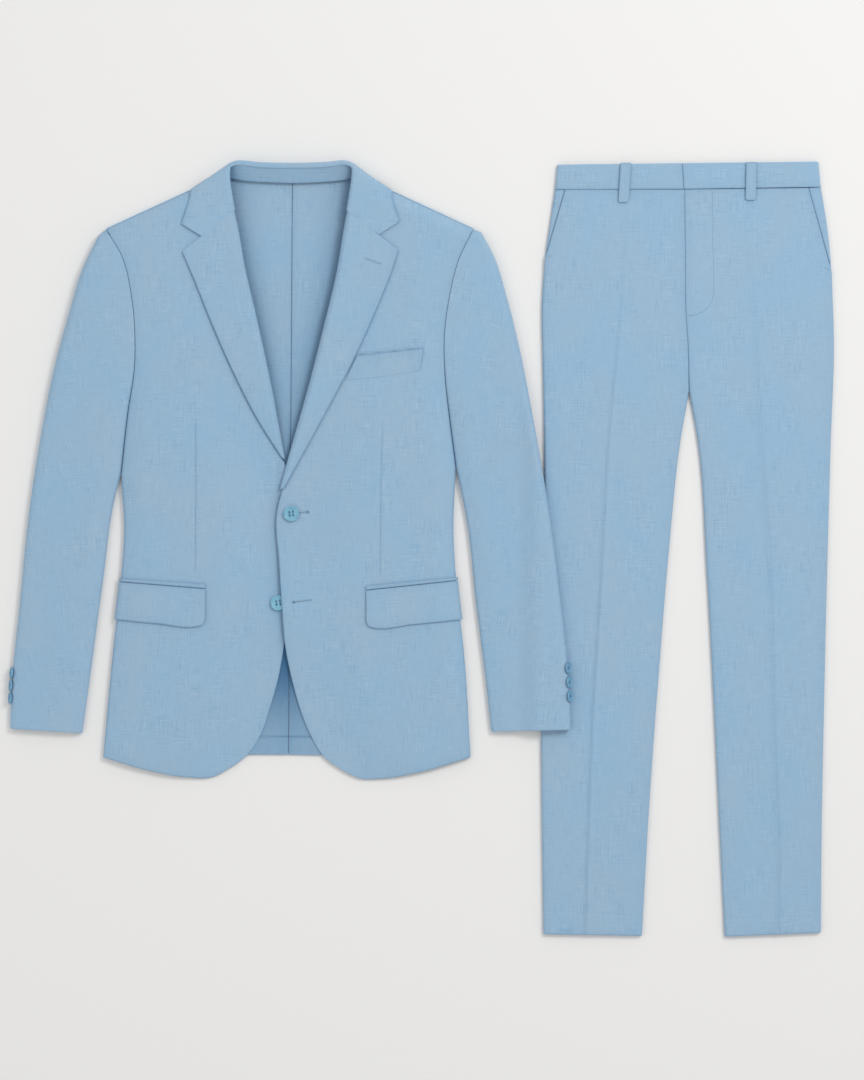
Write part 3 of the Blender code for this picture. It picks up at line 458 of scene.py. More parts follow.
def linen_finish(name):
    """Plain-woven linen, piece dyed: threads of uneven thickness both ways, some of them pale
    or deep, and a cloudy tone."""
    finish = Finish(name, Roughness=0.88, Sheen_Weight=0.12, Sheen_Roughness=0.5)
    place = finish.node("ShaderNodeUVMap", {"uv_map": "grain"})

    def noise(wide, long, offset, detail=2.0):
        """Noise in streaks: how wide and how long they are, in millimetres."""
        scale = (1000 / wide, 1000 / long, 1.0)
        values = {"Vector": place, "Scale": scale, "Location": (offset, 2.3 * offset, 0.0)}
        put = finish.node("ShaderNodeMapping", {}, values)
        values = {"Vector": put, "Scale": 1.0, "Detail": detail}
        return finish.node("ShaderNodeTexNoise", {"noise_dimensions": "2D"}, values)

    warp, weft = noise(1.9, 26, 3.0), noise(22, 1.8, 7.0)
    thin_warp, thin_weft = noise(1.1, 12, 13.0), noise(11, 1.1, 17.0)
    patchy = finish.limit(noise(38, 52, 29.0), 0.4, 0.64)
    pale = finish.limit(warp, 0.6, 0.74) * 0.7 + finish.limit(weft, 0.6, 0.76) * 0.7
    deep = finish.limit(0.41 - warp, 0.0, 0.12) * 0.7 + finish.limit(0.41 - weft, 0.0, 0.12) * 0.6
    fine = (thin_warp + thin_weft - 1.0) * 0.9 + 0.5
    cloud = noise(70, 110, 41.0, 3.0)
    tone = finish.blend(finish.limit(cloud, 0.35, 0.65), FIBRE_COLOUR, CLOUDY_FIBRE)
    tone = finish.blend(finish.limit(fine, 0.5, 1.1) * 0.28, tone, PALE_FIBRE)
    tone = finish.blend(finish.limit(0.5 - fine, 0.0, 0.6) * 0.22, tone, DEEP_FIBRE)
    tone = finish.blend(pale * (0.14 + 0.42 * patchy), tone, PALE_FIBRE)
    tone = finish.blend(deep * (0.14 + 0.36 * patchy), tone, DEEP_FIBRE)
    # Painted shade: the colour darkens along the pieces' edges and where the cloth lies deep.
    rim = finish.node("ShaderNodeAttribute", {"attribute_name": "rim"}, output=2)
    tone = finish.blend(rim, tone, PAINTED_EDGE_SHADE)
    hollow = finish.node("ShaderNodeAttribute", {"attribute_name": "hollow"}, output=2)
    tone = finish.blend(hollow, tone, PAINTED_HOLLOW_SHADE)
    finish.plug(tone, finish.shader.inputs["Base Color"])
    finish.plug(0.84 + 0.1 * fine, finish.shader.inputs["Roughness"])

    values = {0: place, 3: 1000 * math.pi / THREAD_WIDTH}
    turns = finish.node("ShaderNodeVectorMath", {"operation": "SCALE"}, values)
    warp_turn, weft_turn = (finish.node("ShaderNodeSeparateXYZ", {}, {0: turns}, i) for i in (0, 1))
    sine = {"operation": "SINE"}
    over = finish.node("ShaderNodeMath", sine, {0: warp_turn})
    weave = over * finish.node("ShaderNodeMath", sine, {0: weft_turn}) * 0.25
    height = weave + fine * 0.8 + warp * 0.5 + weft * 0.5
    bump = finish.node("ShaderNodeBump", {}, {"Strength": 0.55, "Distance": 0.0004, "Height": height})
    finish.plug(bump, finish.shader.inputs["Normal"])
    return finish.material


linen = linen_finish("suit linen")


EDGE_SHADE_WIDTH, EDGE_SHADE_SHARE = 0.85, 0.34  # painted shade: a thin dark line along the edges
# Painted shade: a broad, faint darker band inside the edges.
BROAD_SHADE_WIDTH, BROAD_SHADE_SHARE = 9.0, 0.07


def cut(name, points, columns, rows, **more):
    """A wall of cloth on the points that its columns and rows give, moved to its garment's
    place. grain turns the weave, in degrees, and each piece takes it from its own place on
    the roll. plain names the edges left without the painted dark edge line, and a shade
    function, where given, paints shade where the cloth lies deep inside the garment."""
    grain, under = more.get("grain", 0.0), more.get("under", False)
    thickness = more.get("thickness", CLOTH)
    wide, tall = (mesh.ravel() for mesh in np.meshgrid(columns, rows))
    net = points(wide, tall).reshape(len(rows), len(columns), 3)
    run = np.cumsum(np.linalg.norm(np.diff(net, axis=1, prepend=net[:, :1]), axis=2), axis=1)
    climb = np.cumsum(np.linalg.norm(np.diff(net, axis=0, prepend=net[:1]), axis=2), axis=0)
    reach = {"near": run, "far": run[:, -1:] - run, "low": climb, "high": climb[-1:] - climb}
    # Painted shade: a thin dark line along every edge not named plain, and a broad faint band inside it.
    turned = [reach[edge] for edge in reach if edge not in more.get("plain", ())]
    to_edge = np.min(turned, axis=0)
    rim = EDGE_SHADE_SHARE * np.exp(-to_edge / EDGE_SHADE_WIDTH)
    rim = rim + BROAD_SHADE_SHARE * np.exp(-((to_edge / BROAD_SHADE_WIDTH) ** 2))
    hollow = more["hollow"](net) if "hollow" in more else np.zeros_like(rim)
    form = bmesh.new()
    count_x, count_y = len(columns) - 1, len(rows) - 1
    bmesh.ops.create_grid(form, x_segments=count_x, y_segments=count_y, size=1)
    form.verts.index_update()
    corners = np.array([vert.co[:2] for vert in form.verts])
    column = np.rint((corners[:, 0] + 1) / 2 * count_x).astype(int)
    row = np.rint((corners[:, 1] + 1) / 2 * count_y).astype(int)
    marks = {"rim": rim[row, column], "hollow": hollow[row, column]}
    for vert, place in zip(form.verts, net[row, column] / 1000):
        vert.co = place
    for mark, values in marks.items():
        layer = form.verts.layers.float.new(mark)
        for vert, value in zip(form.verts, values):
            vert[layer] = value
    turn = math.radians(grain)
    on_roll = 0.37 * (sum(map(ord, name)) % 23)
    weave = form.loops.layers.uv.new("grain")
    for face in form.faces:
        face.smooth = True
        for loop in face.loops:
            x, y = loop.vert.co[:2]
            u = x * math.cos(turn) + y * math.sin(turn)
            loop[weave].uv = (u + on_roll, y * math.cos(turn) - x * math.sin(turn) + on_roll)
    bmesh.ops.remove_doubles(form, verts=form.verts, dist=1e-6)
    form.normal_update()
    if sum(face.normal.z * face.calc_area() for face in form.faces) < 0:
        bmesh.ops.reverse_faces(form, faces=form.faces)
    mesh = bpy.data.meshes.new(name)
    form.to_mesh(mesh)
    form.free()
    piece = bpy.data.objects.new(name, mesh)
    bpy.context.collection.objects.link(piece)
    mesh.materials.append(linen)
    wall = piece.modifiers.new("wall", "SOLIDIFY")
    wall.thickness = thickness / 1000
    wall.offset = 1 if under else -1
    edges = piece.modifiers.new("pressed edges", "BEVEL")
    edges.width = 0.0004
    edges.segments = 2
    edges.limit_method = "ANGLE"
    edges.angle_limit = math.radians(50)
    piece.modifiers.new("even shading", "WEIGHTED_NORMAL").keep_sharp = True
    return piece


def lay_down(piece, node, panel):
    """Hangs the piece from the root and hides its solid; its cut size is worked out, not kept."""
    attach(piece, "root")
    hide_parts(node)
    share = np.linspace(0, 1, 60)

    def run(points):
        return np.linalg.norm(np.diff(points, axis=0), axis=1).sum() / 1000

    width = max(run(panel(share, np.full(60, at))) for at in np.linspace(0, 1, 9))
    length = max(run(panel(np.full(60, at), share)) for at in np.linspace(0, 1, 9))


def on_jacket(points):
    return lambda s, t: points(s, t) + (*JACKET, 0)


SEAM_ALLOWANCE = 1.3  # under the back's face, where its seam is pressed open
# Painted shade on the inside of the back: beside the fronts' rolls, and where they cross.
INSIDE_RIGHT = ((384, -6), (486, -25), (578, -45), (630, -57), (686, -67), (737, -76))
INSIDE_LEFT = ((345, -13), (379, -4), (489, 27), (556, 44), (623, 60), (688, 71), (737, 79))
VENT_SHADE = ((0, 0.22), (26, 0.26), (60, 0.46), (100, 0.8), (135, 0.93), (250, 0.93))
NECK_FROM = 250.0
BACK_PLAIN = ("far", "low", "high")


# Painted shade on the back: beside the rolls in the neck, deeper up the vent, and a line at the hem.
def painted_inside_shade(net):
    across, up = net[..., 0] - JACKET[0], net[..., 1] - JACKET[1]
    right = 0.36 * np.exp(-abs(across - profile(INSIDE_RIGHT)(up)) / 13)
    left = 0.55 * np.exp(-abs(across - profile(INSIDE_LEFT)(up)) / 16)
    below = profile(VENT_SHADE)(up) + 0.3 * np.exp(-abs(up - BACK_HEM_UP) / 0.9)
    return np.where(up > NECK_FROM, np.maximum(right, left), below)


def make_back(side, hem, inner, armhole, neck, shoulder):
    sign = -1 if side == "right" else 1
    open_part = tuple(row for row in armhole if row[2] > inner[-1][2])
    scye = curve((inner[-1],) + open_part, -sign * SCYE_GAP)
    far = chain(curve(inner[:-1] + (("armhole", *scye(0)),)), scye, BACK_CORNER)
    high = chain(curve(neck), curve((neck[-1],) + shoulder[1:]), 0.33)
    sink = profile(((0, 0.0), (45, 0.0), (95, 1.0), (240, 1.0)))
    folds = {"high": (UNDER_FOLD, lambda across: sink(abs(across)), 4.0)}
    near = curve(BACK_SEAM, sign * SEAM / 2)
    panel = Panel(near, far, curve(hem), high, None, BODY_MIDDLE, folds, under=True)

    def inside(s, t):
        """The face that shows from above, with the centre seam pressed open and the hem."""
        points = panel.point(s, t)
        spans = panel.spans(s, t)
        seam = -0.8 * np.exp(-spans["near"] / 1.2)
        seam = seam + 0.4 * np.exp(-(((spans["near"] - 8) / 2) ** 2))
        from_hem_line = points[..., 1] - BACK_HEM_UP
        hem_line = -0.9 * np.exp(-((from_hem_line / 1.2) ** 2))
        step = 0.5 / (1 + np.exp(np.clip(from_hem_line / 0.8, -50, 50)))
        points[..., 2] += CLOTH + SEAM_ALLOWANCE + np.maximum(seam + hem_line + step, -1.3)
        return points

    columns = joined(spread(85, 0.7, 3.0), spread(120, 6.0, 2.0, step=6.0), 0.42)
    rows = joined(spread(26, 0.8, 0.7), spread(720, 0.7, 1.5, step=5.5), BACK_HEM_UP / BACK_LENGTH)
    marks = {"hollow": painted_inside_shade, "plain": BACK_PLAIN}
    piece = cut(f"back_{side}_linen", on_jacket(inside), columns, rows, **marks)
    lay_down(piece, f"jacket_back_{side}", panel.point)


make_back("right", BACK_HEM_RIGHT, BACK_PANEL_RIGHT, ARMHOLE_RIGHT, NECK_RIGHT, SHOULDER_RIGHT)
make_back("left", BACK_HEM_LEFT, BACK_PANEL_LEFT, ARMHOLE_LEFT, NECK_LEFT, SHOULDER_LEFT)


# The side bodies: the narrow panels under the arms, which carry each front round to the back.
# They lie on the board below the fronts' soft folds, and only their folded edges show.
SIDE_RIGHT = (
    ("hem", -241, 0), ("seat", -229, 130), ("pocket", -219, 222), ("waist", -214, 292),
    ("armpit", -218, 364),
)
SIDE_LEFT = (
    ("hem", 233, 0), ("seat", 225, 130), ("pocket", 215, 222), ("waist", 211, 292),
    ("armpit", 214, 374),
)


def make_side_body(side, outer, armhole, inner):
    sign = -1 if side == "right" else 1
    near = curve(inner, sign * SEAM)
    low = curve((("back", *near(0)), ("side", *outer[0][1:])))
    top = tuple(row for row in armhole if row[2] < inner[-1][2])
    high = curve((("back", *near(1)),) + top[::-1], -sign * SCYE_GAP)
    folds = {"far": rounded(UNDER_FOLD)}
    panel = Panel(near, curve(outer), low, high, None, BODY_MIDDLE, folds, under=True)
    columns = spread(70, 2.5, 0.7, step=UNDER_STEP)
    rows = spread(440, 2.5, 2.5, step=UNDER_STEP)
    name = f"side_body_{side}_linen"
    piece = cut(name, on_jacket(panel.point), columns, rows, under=True)
    lay_down(piece, f"jacket_side_body_{side}", panel.point)


make_side_body("right", SIDE_RIGHT, ARMHOLE_RIGHT, BACK_PANEL_RIGHT)
make_side_body("left", SIDE_LEFT, ARMHOLE_LEFT, BACK_PANEL_LEFT)


# The fronts: canvassed and lightly pressed, each with a dart from the chest to the pocket. The
# left front laps over the right one, and both are cut away below the lower button.
FRONT_EDGE_RIGHT = (
    ("cutaway", -72, -11), ("cutaway top", -54, 4), ("quarter", -39, 26), ("vent side", -25, 66),
    ("vent", -15, 102), ("crossing", -8, 140), ("lower button", 3, 190), ("between", 11, 250),
    ("upper button", 13, 313), ("under the lap", 7, 352), ("break", -6, 384),
)
FRONT_EDGE_LEFT = (
    ("cutaway", 72, -20), ("cutaway top", 43, 1), ("quarter", 27, 27), ("vent side", 16, 53),
    ("vent", 5, 90), ("crossing", -6, 144), ("lower button", -10, 194), ("between", -14, 253),
    ("upper button", -17, 313), ("break", -13, 345),
)
ROLL_RIGHT = (
    ("break", -6, 384), ("low chest", -25, 486), ("chest", -45, 578), ("upper chest", -57, 630),
    ("collarbone", -67, 686), ("gorge", -71, 704), ("neck side", -76, 737),
    ("neck point", -76, 750),
)
ROLL_LEFT = (
    ("break", -13, 345), ("v", -4, 379), ("low chest", 27, 489), ("chest", 44, 556),
    ("upper chest", 60, 623), ("collarbone", 71, 688), ("gorge", 74, 704),
    ("neck side", 79, 737), ("neck point", 79, 750),
)
HEM_RIGHT = (
    ("cutaway", -72, -11), ("front curve", -101, -26), ("front", -134, -26), ("dart", -188, -16),
    ("side", -241, 0),
)
HEM_LEFT = (
    ("cutaway", 72, -20), ("front curve", 92, -28), ("front", 116, -28), ("dart", 165, -20),
    ("side", 233, 0),
)
LAPEL_EDGE_RIGHT = (
    ("break", -10, 386), ("low chest", -41, 435), ("chest", -75.5, 503), ("belly", -104.5, 570),
    ("upper chest", -122.5, 615), ("tip", -138, 651),
)
LAPEL_EDGE_LEFT = (
    ("break", -8, 346), ("v", 8, 375), ("low chest", 45, 442), ("chest", 84, 516),
    ("belly", 119, 595), ("upper chest", 131, 625), ("tip", 140, 653),
)
BODY_FOLD = 32.0
SHOULDER_FOLD = 18.0
LAPEL_TURN = 3.2
LAP, LAP_RISE = 26.0, 80.0
CORNER = 0.5
DART_RIGHT = (("hem", -128, -20), ("foot", -122, 249), ("top", -122, 444), ("shoulder", -140, 724))
DART_LEFT = (("hem", 112, -24), ("foot", 116, 226), ("top", 120, 435), ("shoulder", 146, 722))
DART_SPAN_RIGHT = (236, 448)
DART_SPAN_LEFT = (226, 440)
DART_DEPTH, DART_WIDTH = 0.9, 1.0
# Heights of the cloth's upper face: up, height.
BODY_HEIGHT = (
    (-30, 8.5), (0, 9.5), (110, 12.0), (230, 14.0), (310, 14.5), (400, 16.0), (500, 17.5),
    (620, 18.5), (760, 18.5),
)
RIGHT_EDGE_HEIGHT = (
    (-30, 4.6), (130, 4.8), (330, 5.0), (390, 7.0), (440, 11.0), (500, 14.5), (620, 17.5),
    (760, 18.5),
)
LEFT_EDGE_HEIGHT = (
    (-30, 5.0), (90, 6.5), (140, 9.5), (180, 11.5), (215, 11.5), (255, 10.0), (310, 9.5),
    (380, 11.0), (440, 13.0), (500, 15.5), (620, 17.5), (760, 18.5),
)
ARMHOLE_SINK = ((300, 1.0), (372, 1.0), (440, 0.72), (500, 0.3), (560, 0.13), (690, 0.08))
ARMHOLE_TURN = ((360, 4.0), (470, 4.0), (540, 2.2), (700, 2.0))
# Soft creases: from across, up; to across, up; half width, rise.
CREASES_RIGHT = (
    (-196, 452, -120, 356, 11, -0.55), (-206, 396, -60, 322, 13, -0.5),
    (-200, 340, -96, 306, 9, 0.4), (-168, 676, -150, 540, 15, 0.5),
    (-186, 620, -180, 500, 10, -0.45), (-70, 300, -30, 120, 12, 0.45),
    (-96, 160, -84, 10, 14, -0.45), (-150, 150, -160, 0, 13, 0.4),
    (-60, 430, -22, 352, 10, -0.4),
)
CREASES_LEFT = (
    (194, 446, 118, 352, 10, -0.5), (204, 388, 60, 318, 12, -0.5), (198, 330, 110, 300, 10, 0.4),
    (170, 672, 150, 560, 14, 0.45), (184, 600, 178, 520, 10, -0.4), (60, 296, 34, 130, 13, -0.4),
    (96, 150, 84, -8, 13, 0.45), (158, 140, 168, 0, 12, -0.4),
)
DART_SHADE, WELT_SHADE = 0.16, 0.34
WELT_SPAN = (84, 173)
LAPEL_SHADE = {
    "right": ((386, 0.5), (560, 0.42), (630, 0.2), (655, 0.0)),
    "left": ((346, 0.2), (480, 0.22), (630, 0.16), (655, 0.0)),
}
welt_line = profile(((80, 517.0), (88, 517.8), (173, 526.8), (200, 529.0)))
LAP_SHADE = ((120, 0.0), (160, 0.34), (330, 0.34), (350, 0.2), (386, 0.0))


def beside(line, across, up, sign, width):
    """How near a place is to a line, on its outer side."""
    away = sign * (across - profile([row[:0:-1] for row in line])(up))
    return np.where(away > -1.5, np.exp(-np.clip(away, 0, 99) / width), 0.0)


def make_front(side, edge, roll, outer, armhole, hem, shoulder, edge_height, dart, span, creases):
    sign = -1 if side == "right" else 1
    body, at_edge, soft = profile(BODY_HEIGHT), profile(edge_height), relief(creases)
    dart_places = curve(dart)(np.linspace(0, 1, 60))
    dart_across = profile(dart_places[:, ::-1])

    def along_dart(up):
        foot, top = np.clip((up - span[0]) / 12, 0, 1), np.clip((span[1] - up) / 25, 0, 1)
        return foot * top

    def height(across, up, s, t):
        share = np.clip((s * panel.width(t) - LAP) / LAP_RISE, 0.0, 1.0)
        share = share * share * (3 - 2 * share)
        return (1 - share) * at_edge(up) + share * body(up)

    def detail(across, up):
        aside = sign * (across - dart_across(up))
        seam = -DART_DEPTH * np.exp(-abs(aside) / DART_WIDTH)
        shaped = 0.3 * np.exp(-(((aside + 5) / 4) ** 2))
        return soft(across, up) + along_dart(up) * (seam + shaped)

    roll_line = curve(roll, sign * LAPEL_TURN)
    near = chain(curve(edge[:-1] + (("break", *roll_line(0)),)), roll_line, CORNER)
    far = chain(curve(outer), curve(armhole), CORNER)
    high = curve((("neck point", *roll_line(1)),) + shoulder[1:])
    folds = {
        "far": (BODY_FOLD, profile(ARMHOLE_SINK), profile(ARMHOLE_TURN)),
        "high": rounded(SHOULDER_FOLD),
    }
    rolled = ("near", "low")
    panel = Panel(
        near, far, curve(hem), high, height, BODY_MIDDLE, folds, rolled=rolled, detail=detail
    )

    def hollow(net):
        """Painted shade along the dart and beside the lapel; on the right front under the lap, on the
        left along the welt.
        """
        across, up = net[..., 0] - JACKET[0], net[..., 1] - JACKET[1]
        depth = DART_SHADE * along_dart(up) * np.exp(-abs(across - dart_across(up)) / 0.9)
        lapel = LAPEL_EDGE_RIGHT if side == "right" else LAPEL_EDGE_LEFT
        shade = profile(LAPEL_SHADE[side])(up) * (up > lapel[0][2]) * (up < lapel[-1][2])
        depth = np.maximum(depth, shade * beside(lapel, across, up, sign, 2.0))
        if side == "left":
            on_welt = (across > WELT_SPAN[0]) * (across < WELT_SPAN[1])
            return np.maximum(depth, WELT_SHADE * np.exp(-abs(up - welt_line(across))) * on_welt)
        lap = profile(LAP_SHADE)(up) * (up > FRONT_EDGE_LEFT[4][2]) * (up < 386)
        return np.maximum(depth, lap * beside(FRONT_EDGE_LEFT, across, up, -1, 4.5))

    columns = joined(spread(120, 0.8, 0.6), spread(105, 0.6, 0.9), 0.5)
    rows = joined(spread(385, 0.8, 3.0), spread(370, 3.0, 0.9), CORNER)
    marks = {"hollow": hollow, "plain": ("high",)}
    points = on_jacket(following(panel, dart_places))
    piece = cut(f"front_{side}_linen", points, columns, rows, **marks)
    lay_down(piece, f"jacket_front_{side}", panel.point)
    return panel


right_front = make_front(
    "right",
    FRONT_EDGE_RIGHT,
    ROLL_RIGHT,
    SIDE_RIGHT,
    ARMHOLE_RIGHT,
    HEM_RIGHT,
    SHOULDER_RIGHT,
    RIGHT_EDGE_HEIGHT,
    DART_RIGHT,
    DART_SPAN_RIGHT,
    CREASES_RIGHT,
)
left_front = make_front(
    "left",
    FRONT_EDGE_LEFT,
    ROLL_LEFT,
    SIDE_LEFT,
    ARMHOLE_LEFT,
    HEM_LEFT,
    SHOULDER_LEFT,
    LEFT_EDGE_HEIGHT,
    DART_LEFT,
    DART_SPAN_LEFT,
    CREASES_LEFT,
)


# The lapels: the fronts' facings, turned back over the roll line and pressed flat on the chest,
# with a soft roll at the break and a turned outer edge.
GORGE_UP = 704.0
LAPEL_ROLL = 8.0
LAPEL_SPRING = 2.0  # how far the lapel stands off its front along the roll
LAPEL_LAY = 1.3
LAPEL_BELLY = 0.5  # the soft swell along a lapel's middle


class Lapel(Panel):
    """A facing turned back over the roll line, lying on its front."""

    def __init__(self, near, far, low, high, on):
        super().__init__(near, far, low, high, None, 0.0, rolled=("far",))
        self.on = on

    def point(self, s, t):
        s, t = np.broadcast_arrays(np.asarray(s, float), np.asarray(t, float))
        place = self.plan(s, t)
        across, up = place[..., 0], place[..., 1]
        spans = self.spans(s, t)
        base = self.on.point(*self.on.locate(across, up))[..., 2]
        inside = np.clip(spans["near"] / np.minimum(LAPEL_ROLL, 0.45 * self.width(t)), 0, 1)
        rise = np.sqrt(1 - (1 - inside) ** 2)
        turned = base - CLOTH
        full = base + LAPEL_LAY + CLOTH + LAPEL_SPRING * (1 - s) ** 2
        belly = LAPEL_BELLY * np.sin(np.pi * s) * np.sin(np.pi * t)
        height = turned + (full + belly - turned) * rise - self.roll(spans)
        return np.stack((across, up, height), axis=-1)


def make_lapel(side, on, roll, edge):
    line = tuple(row for row in roll if row[2] <= GORGE_UP)
    start, tip = (("roll", *line[0][1:]), ("edge", *edge[0][1:])), edge[-1]
    seam = (("gorge", *line[-1][1:]), ("tip", *tip[1:]))
    panel = Lapel(curve(line), curve(edge), curve(start), curve(seam), on)
    columns = spread(66, 0.5, 0.5, step=3.0)
    rows = spread(330, 2.0, 0.5)
    plain = ("near", "high")
    piece = cut(f"lapel_{side}_linen", on_jacket(panel.point), columns, rows, plain=plain)
    lay_down(piece, f"lapel_{side}", panel.point)
    return panel


make_lapel("right", right_front, ROLL_RIGHT, LAPEL_EDGE_RIGHT)
left_lapel = make_lapel("left", left_front, ROLL_LEFT, LAPEL_EDGE_LEFT)


# The hip pockets: a flap with round corners, bagged out and pressed, hanging from a narrow jet
# above it. Both run on round the body's side.
FLAP_RIGHT_TOP = (("front", -108, 217), ("side", -220, 226))
FLAP_RIGHT_BOTTOM = (
    ("front", -109, 192), ("corner", -109.8, 175), ("bend", -112, 170.8), ("round", -117, 169.3),
    ("middle", -170, 172.6), ("side", -226, 178),
)
FLAP_LEFT_TOP = (("front", 98, 215), ("side", 217, 228))
FLAP_LEFT_BOTTOM = (
    ("front", 99, 189), ("corner", 99.8, 172.8), ("bend", 102, 168.8), ("round", 107, 167.4),
    ("middle", 160, 171.6), ("side", 222, 178),
)
JET_RIGHT = (("front", -108, 223.5), ("side", -220, 230.5))
JET_LEFT = (("front", 98, 221), ("side", 216, 232.5))
FLAP_LIFT, JET_LIFT = (3.2, 2.3), (2.3, 2.8)
JET_GAP = 0.8
FLAP_PUFF = 0.5


def laid_on(panel, bottom, top, lift, puff=0.0, edge=1.4):
    """The outer face of a piece that lies on a panel between two lines, lifted by so much at
    each, with its own turned edges and a slight swell."""

    def points(g, h):
        low, high = bottom(g), top(g)
        place = low + (high - low) * h[..., None]
        rise = lift[0] + (lift[1] - lift[0]) * h
        found = panel.over(place[..., 0], place[..., 1], rise[..., None])
        size = np.linalg.norm(high - low, axis=-1)
        length = np.linalg.norm(top(1.0) - top(0.0))
        to_edge = np.minimum(np.minimum(h * size, (1 - h) * size), np.minimum(g, 1 - g) * length)
        inside = np.clip(to_edge / edge, 0, 1)
        swell = puff * np.sin(np.pi * np.clip(h, 0, 1)) * np.sin(np.pi * g) ** 0.5
        found[..., 2] += swell - 0.6 * quarter_round(inside)
        return found

    return points


def make_hip_pocket(side, front, top, bottom, jet):
    def to_side(rows):
        t = front.locate(*rows[-1][1:])[1]
        return curve(rows[:-1] + (("side", *front.plan(1.0, t)),))

    flap_top = to_side(top)
    shape = laid_on(front, to_side(bottom), flap_top, FLAP_LIFT, FLAP_PUFF)
    columns = spread(118, 0.5, 0.6, step=2.6)
    name = f"flap_{side}_linen"
    piece = cut(name, on_jacket(shape), columns, spread(50, 0.5, 0.5, step=2.6))
    lay_down(piece, f"hip_flap_{side}", shape)

    def jet_bottom(share):
        return flap_top(share) + (0, JET_GAP)

    shape = laid_on(front, jet_bottom, to_side(jet), JET_LIFT, edge=1.8)
    name = f"jet_{side}_linen"
    piece = cut(name, on_jacket(shape), columns, spread(6, 0.6, 0.6, step=1.5), grain=90.0)
    lay_down(piece, f"hip_jet_{side}", shape)


make_hip_pocket("right", right_front, FLAP_RIGHT_TOP, FLAP_RIGHT_BOTTOM, JET_RIGHT)
make_hip_pocket("left", left_front, FLAP_LEFT_TOP, FLAP_LEFT_BOTTOM, JET_LEFT)


# The chest pocket's welt: a folded strip, sewn on along its lower edge and at its ends, with
# its inner end under the lapel.
WELT_TOP = (("lapel", 87, 517), ("sleeve", 172, 526))
WELT_BOTTOM = (("lapel", 71, 485), ("middle", 114, 489), ("sleeve", 169, 498))
WELT_LIFT = (0.5, 3.0)

welt = laid_on(left_front, curve(WELT_BOTTOM), curve(WELT_TOP), WELT_LIFT, puff=0.15)
columns, rows = spread(95, 0.6, 0.5, step=2.6), spread(30, 0.5, 0.5, step=2.2)
piece = cut("chest_welt_linen", on_jacket(welt), columns, rows, thickness=1.2, grain=8.0, plain=("low",))
lay_down(piece, "chest_welt", welt)


# The sleeves: each a top part and an under part, pressed along the outer seam and fuller along
# the inner one. The left sleeve's cuff end lies over the trousers.
SLEEVE_OUTER_RIGHT = (
    ("cuff", -361, 37), ("buttons", -359, 95), ("forearm", -349, 196), ("elbow", -338, 306),
    ("biceps", -321, 419), ("upper arm", -303, 508), ("deltoid", -285, 574),
    ("sleeve head", -269, 627), ("crown", -247, 673),
)
SLEEVE_INNER_RIGHT = (
    ("cuff", -268, 31), ("forearm", -256, 119), ("elbow", -241, 231), ("upper arm", -226, 335),
)
SLEEVE_OUTER_LEFT = (
    ("cuff", 362, 36), ("buttons", 360, 90), ("forearm", 348, 208), ("elbow", 332, 330),
    ("biceps", 313, 441), ("upper arm", 296, 529), ("deltoid", 279, 597),
    ("sleeve head", 264, 645), ("crown", 247, 677),
)
SLEEVE_INNER_LEFT = (
    ("cuff", 260, 33), ("forearm", 252, 105), ("elbow", 240, 201), ("upper arm", 229, 300),
)
SLEEVE_MIDDLE = 5.0
SLEEVE_FOLD, SLEEVE_EDGE = 26.0, 9.0
SLEEVE_HEIGHT = ((30, 11.5), (200, 12.5), (360, 14.0), (450, 16.0), (620, 18.5), (690, 18.0))
SLEEVE_UNDER_SINK = ((0, 1.0), (350, 1.0), (380, 0.6), (430, 0.0), (690, 0.0))
SLEEVE_PLAIN = ("near", "far", "low")
SLEEVE_GRAIN = 9.0  # degrees, as the sleeves hang outwards
RIDE = 8.0  # how far the left sleeve is lifted where it lies on the trousers
RIDE_WIDTH = 30.0
SLEEVE_CREASES_RIGHT = (
    (-236, 262, -296, 236, 8, -0.6), (-240, 232, -310, 214, 7, 0.45),
    (-246, 200, -300, 196, 9, -0.4), (-222, 380, -290, 330, 10, -0.5),
    (-214, 430, -280, 392, 9, -0.45), (-262, 120, -320, 140, 12, 0.35),
    (-250, 620, -240, 500, 12, 0.4), (-300, 480, -322, 340, 14, -0.4),
)
SLEEVE_CREASES_LEFT = (
    (234, 240, 296, 214, 8, -0.55), (240, 206, 306, 190, 7, 0.45),
    (226, 360, 286, 322, 10, -0.5), (214, 430, 276, 386, 9, -0.4), (256, 100, 318, 128, 12, 0.3),
    (246, 610, 238, 520, 12, 0.4), (292, 470, 316, 350, 14, -0.4),
)
# Where the lift over the leg starts.
RIDE_FROM = 1000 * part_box("trousers_back_right")[0].x - JACKET[0] - 31.5


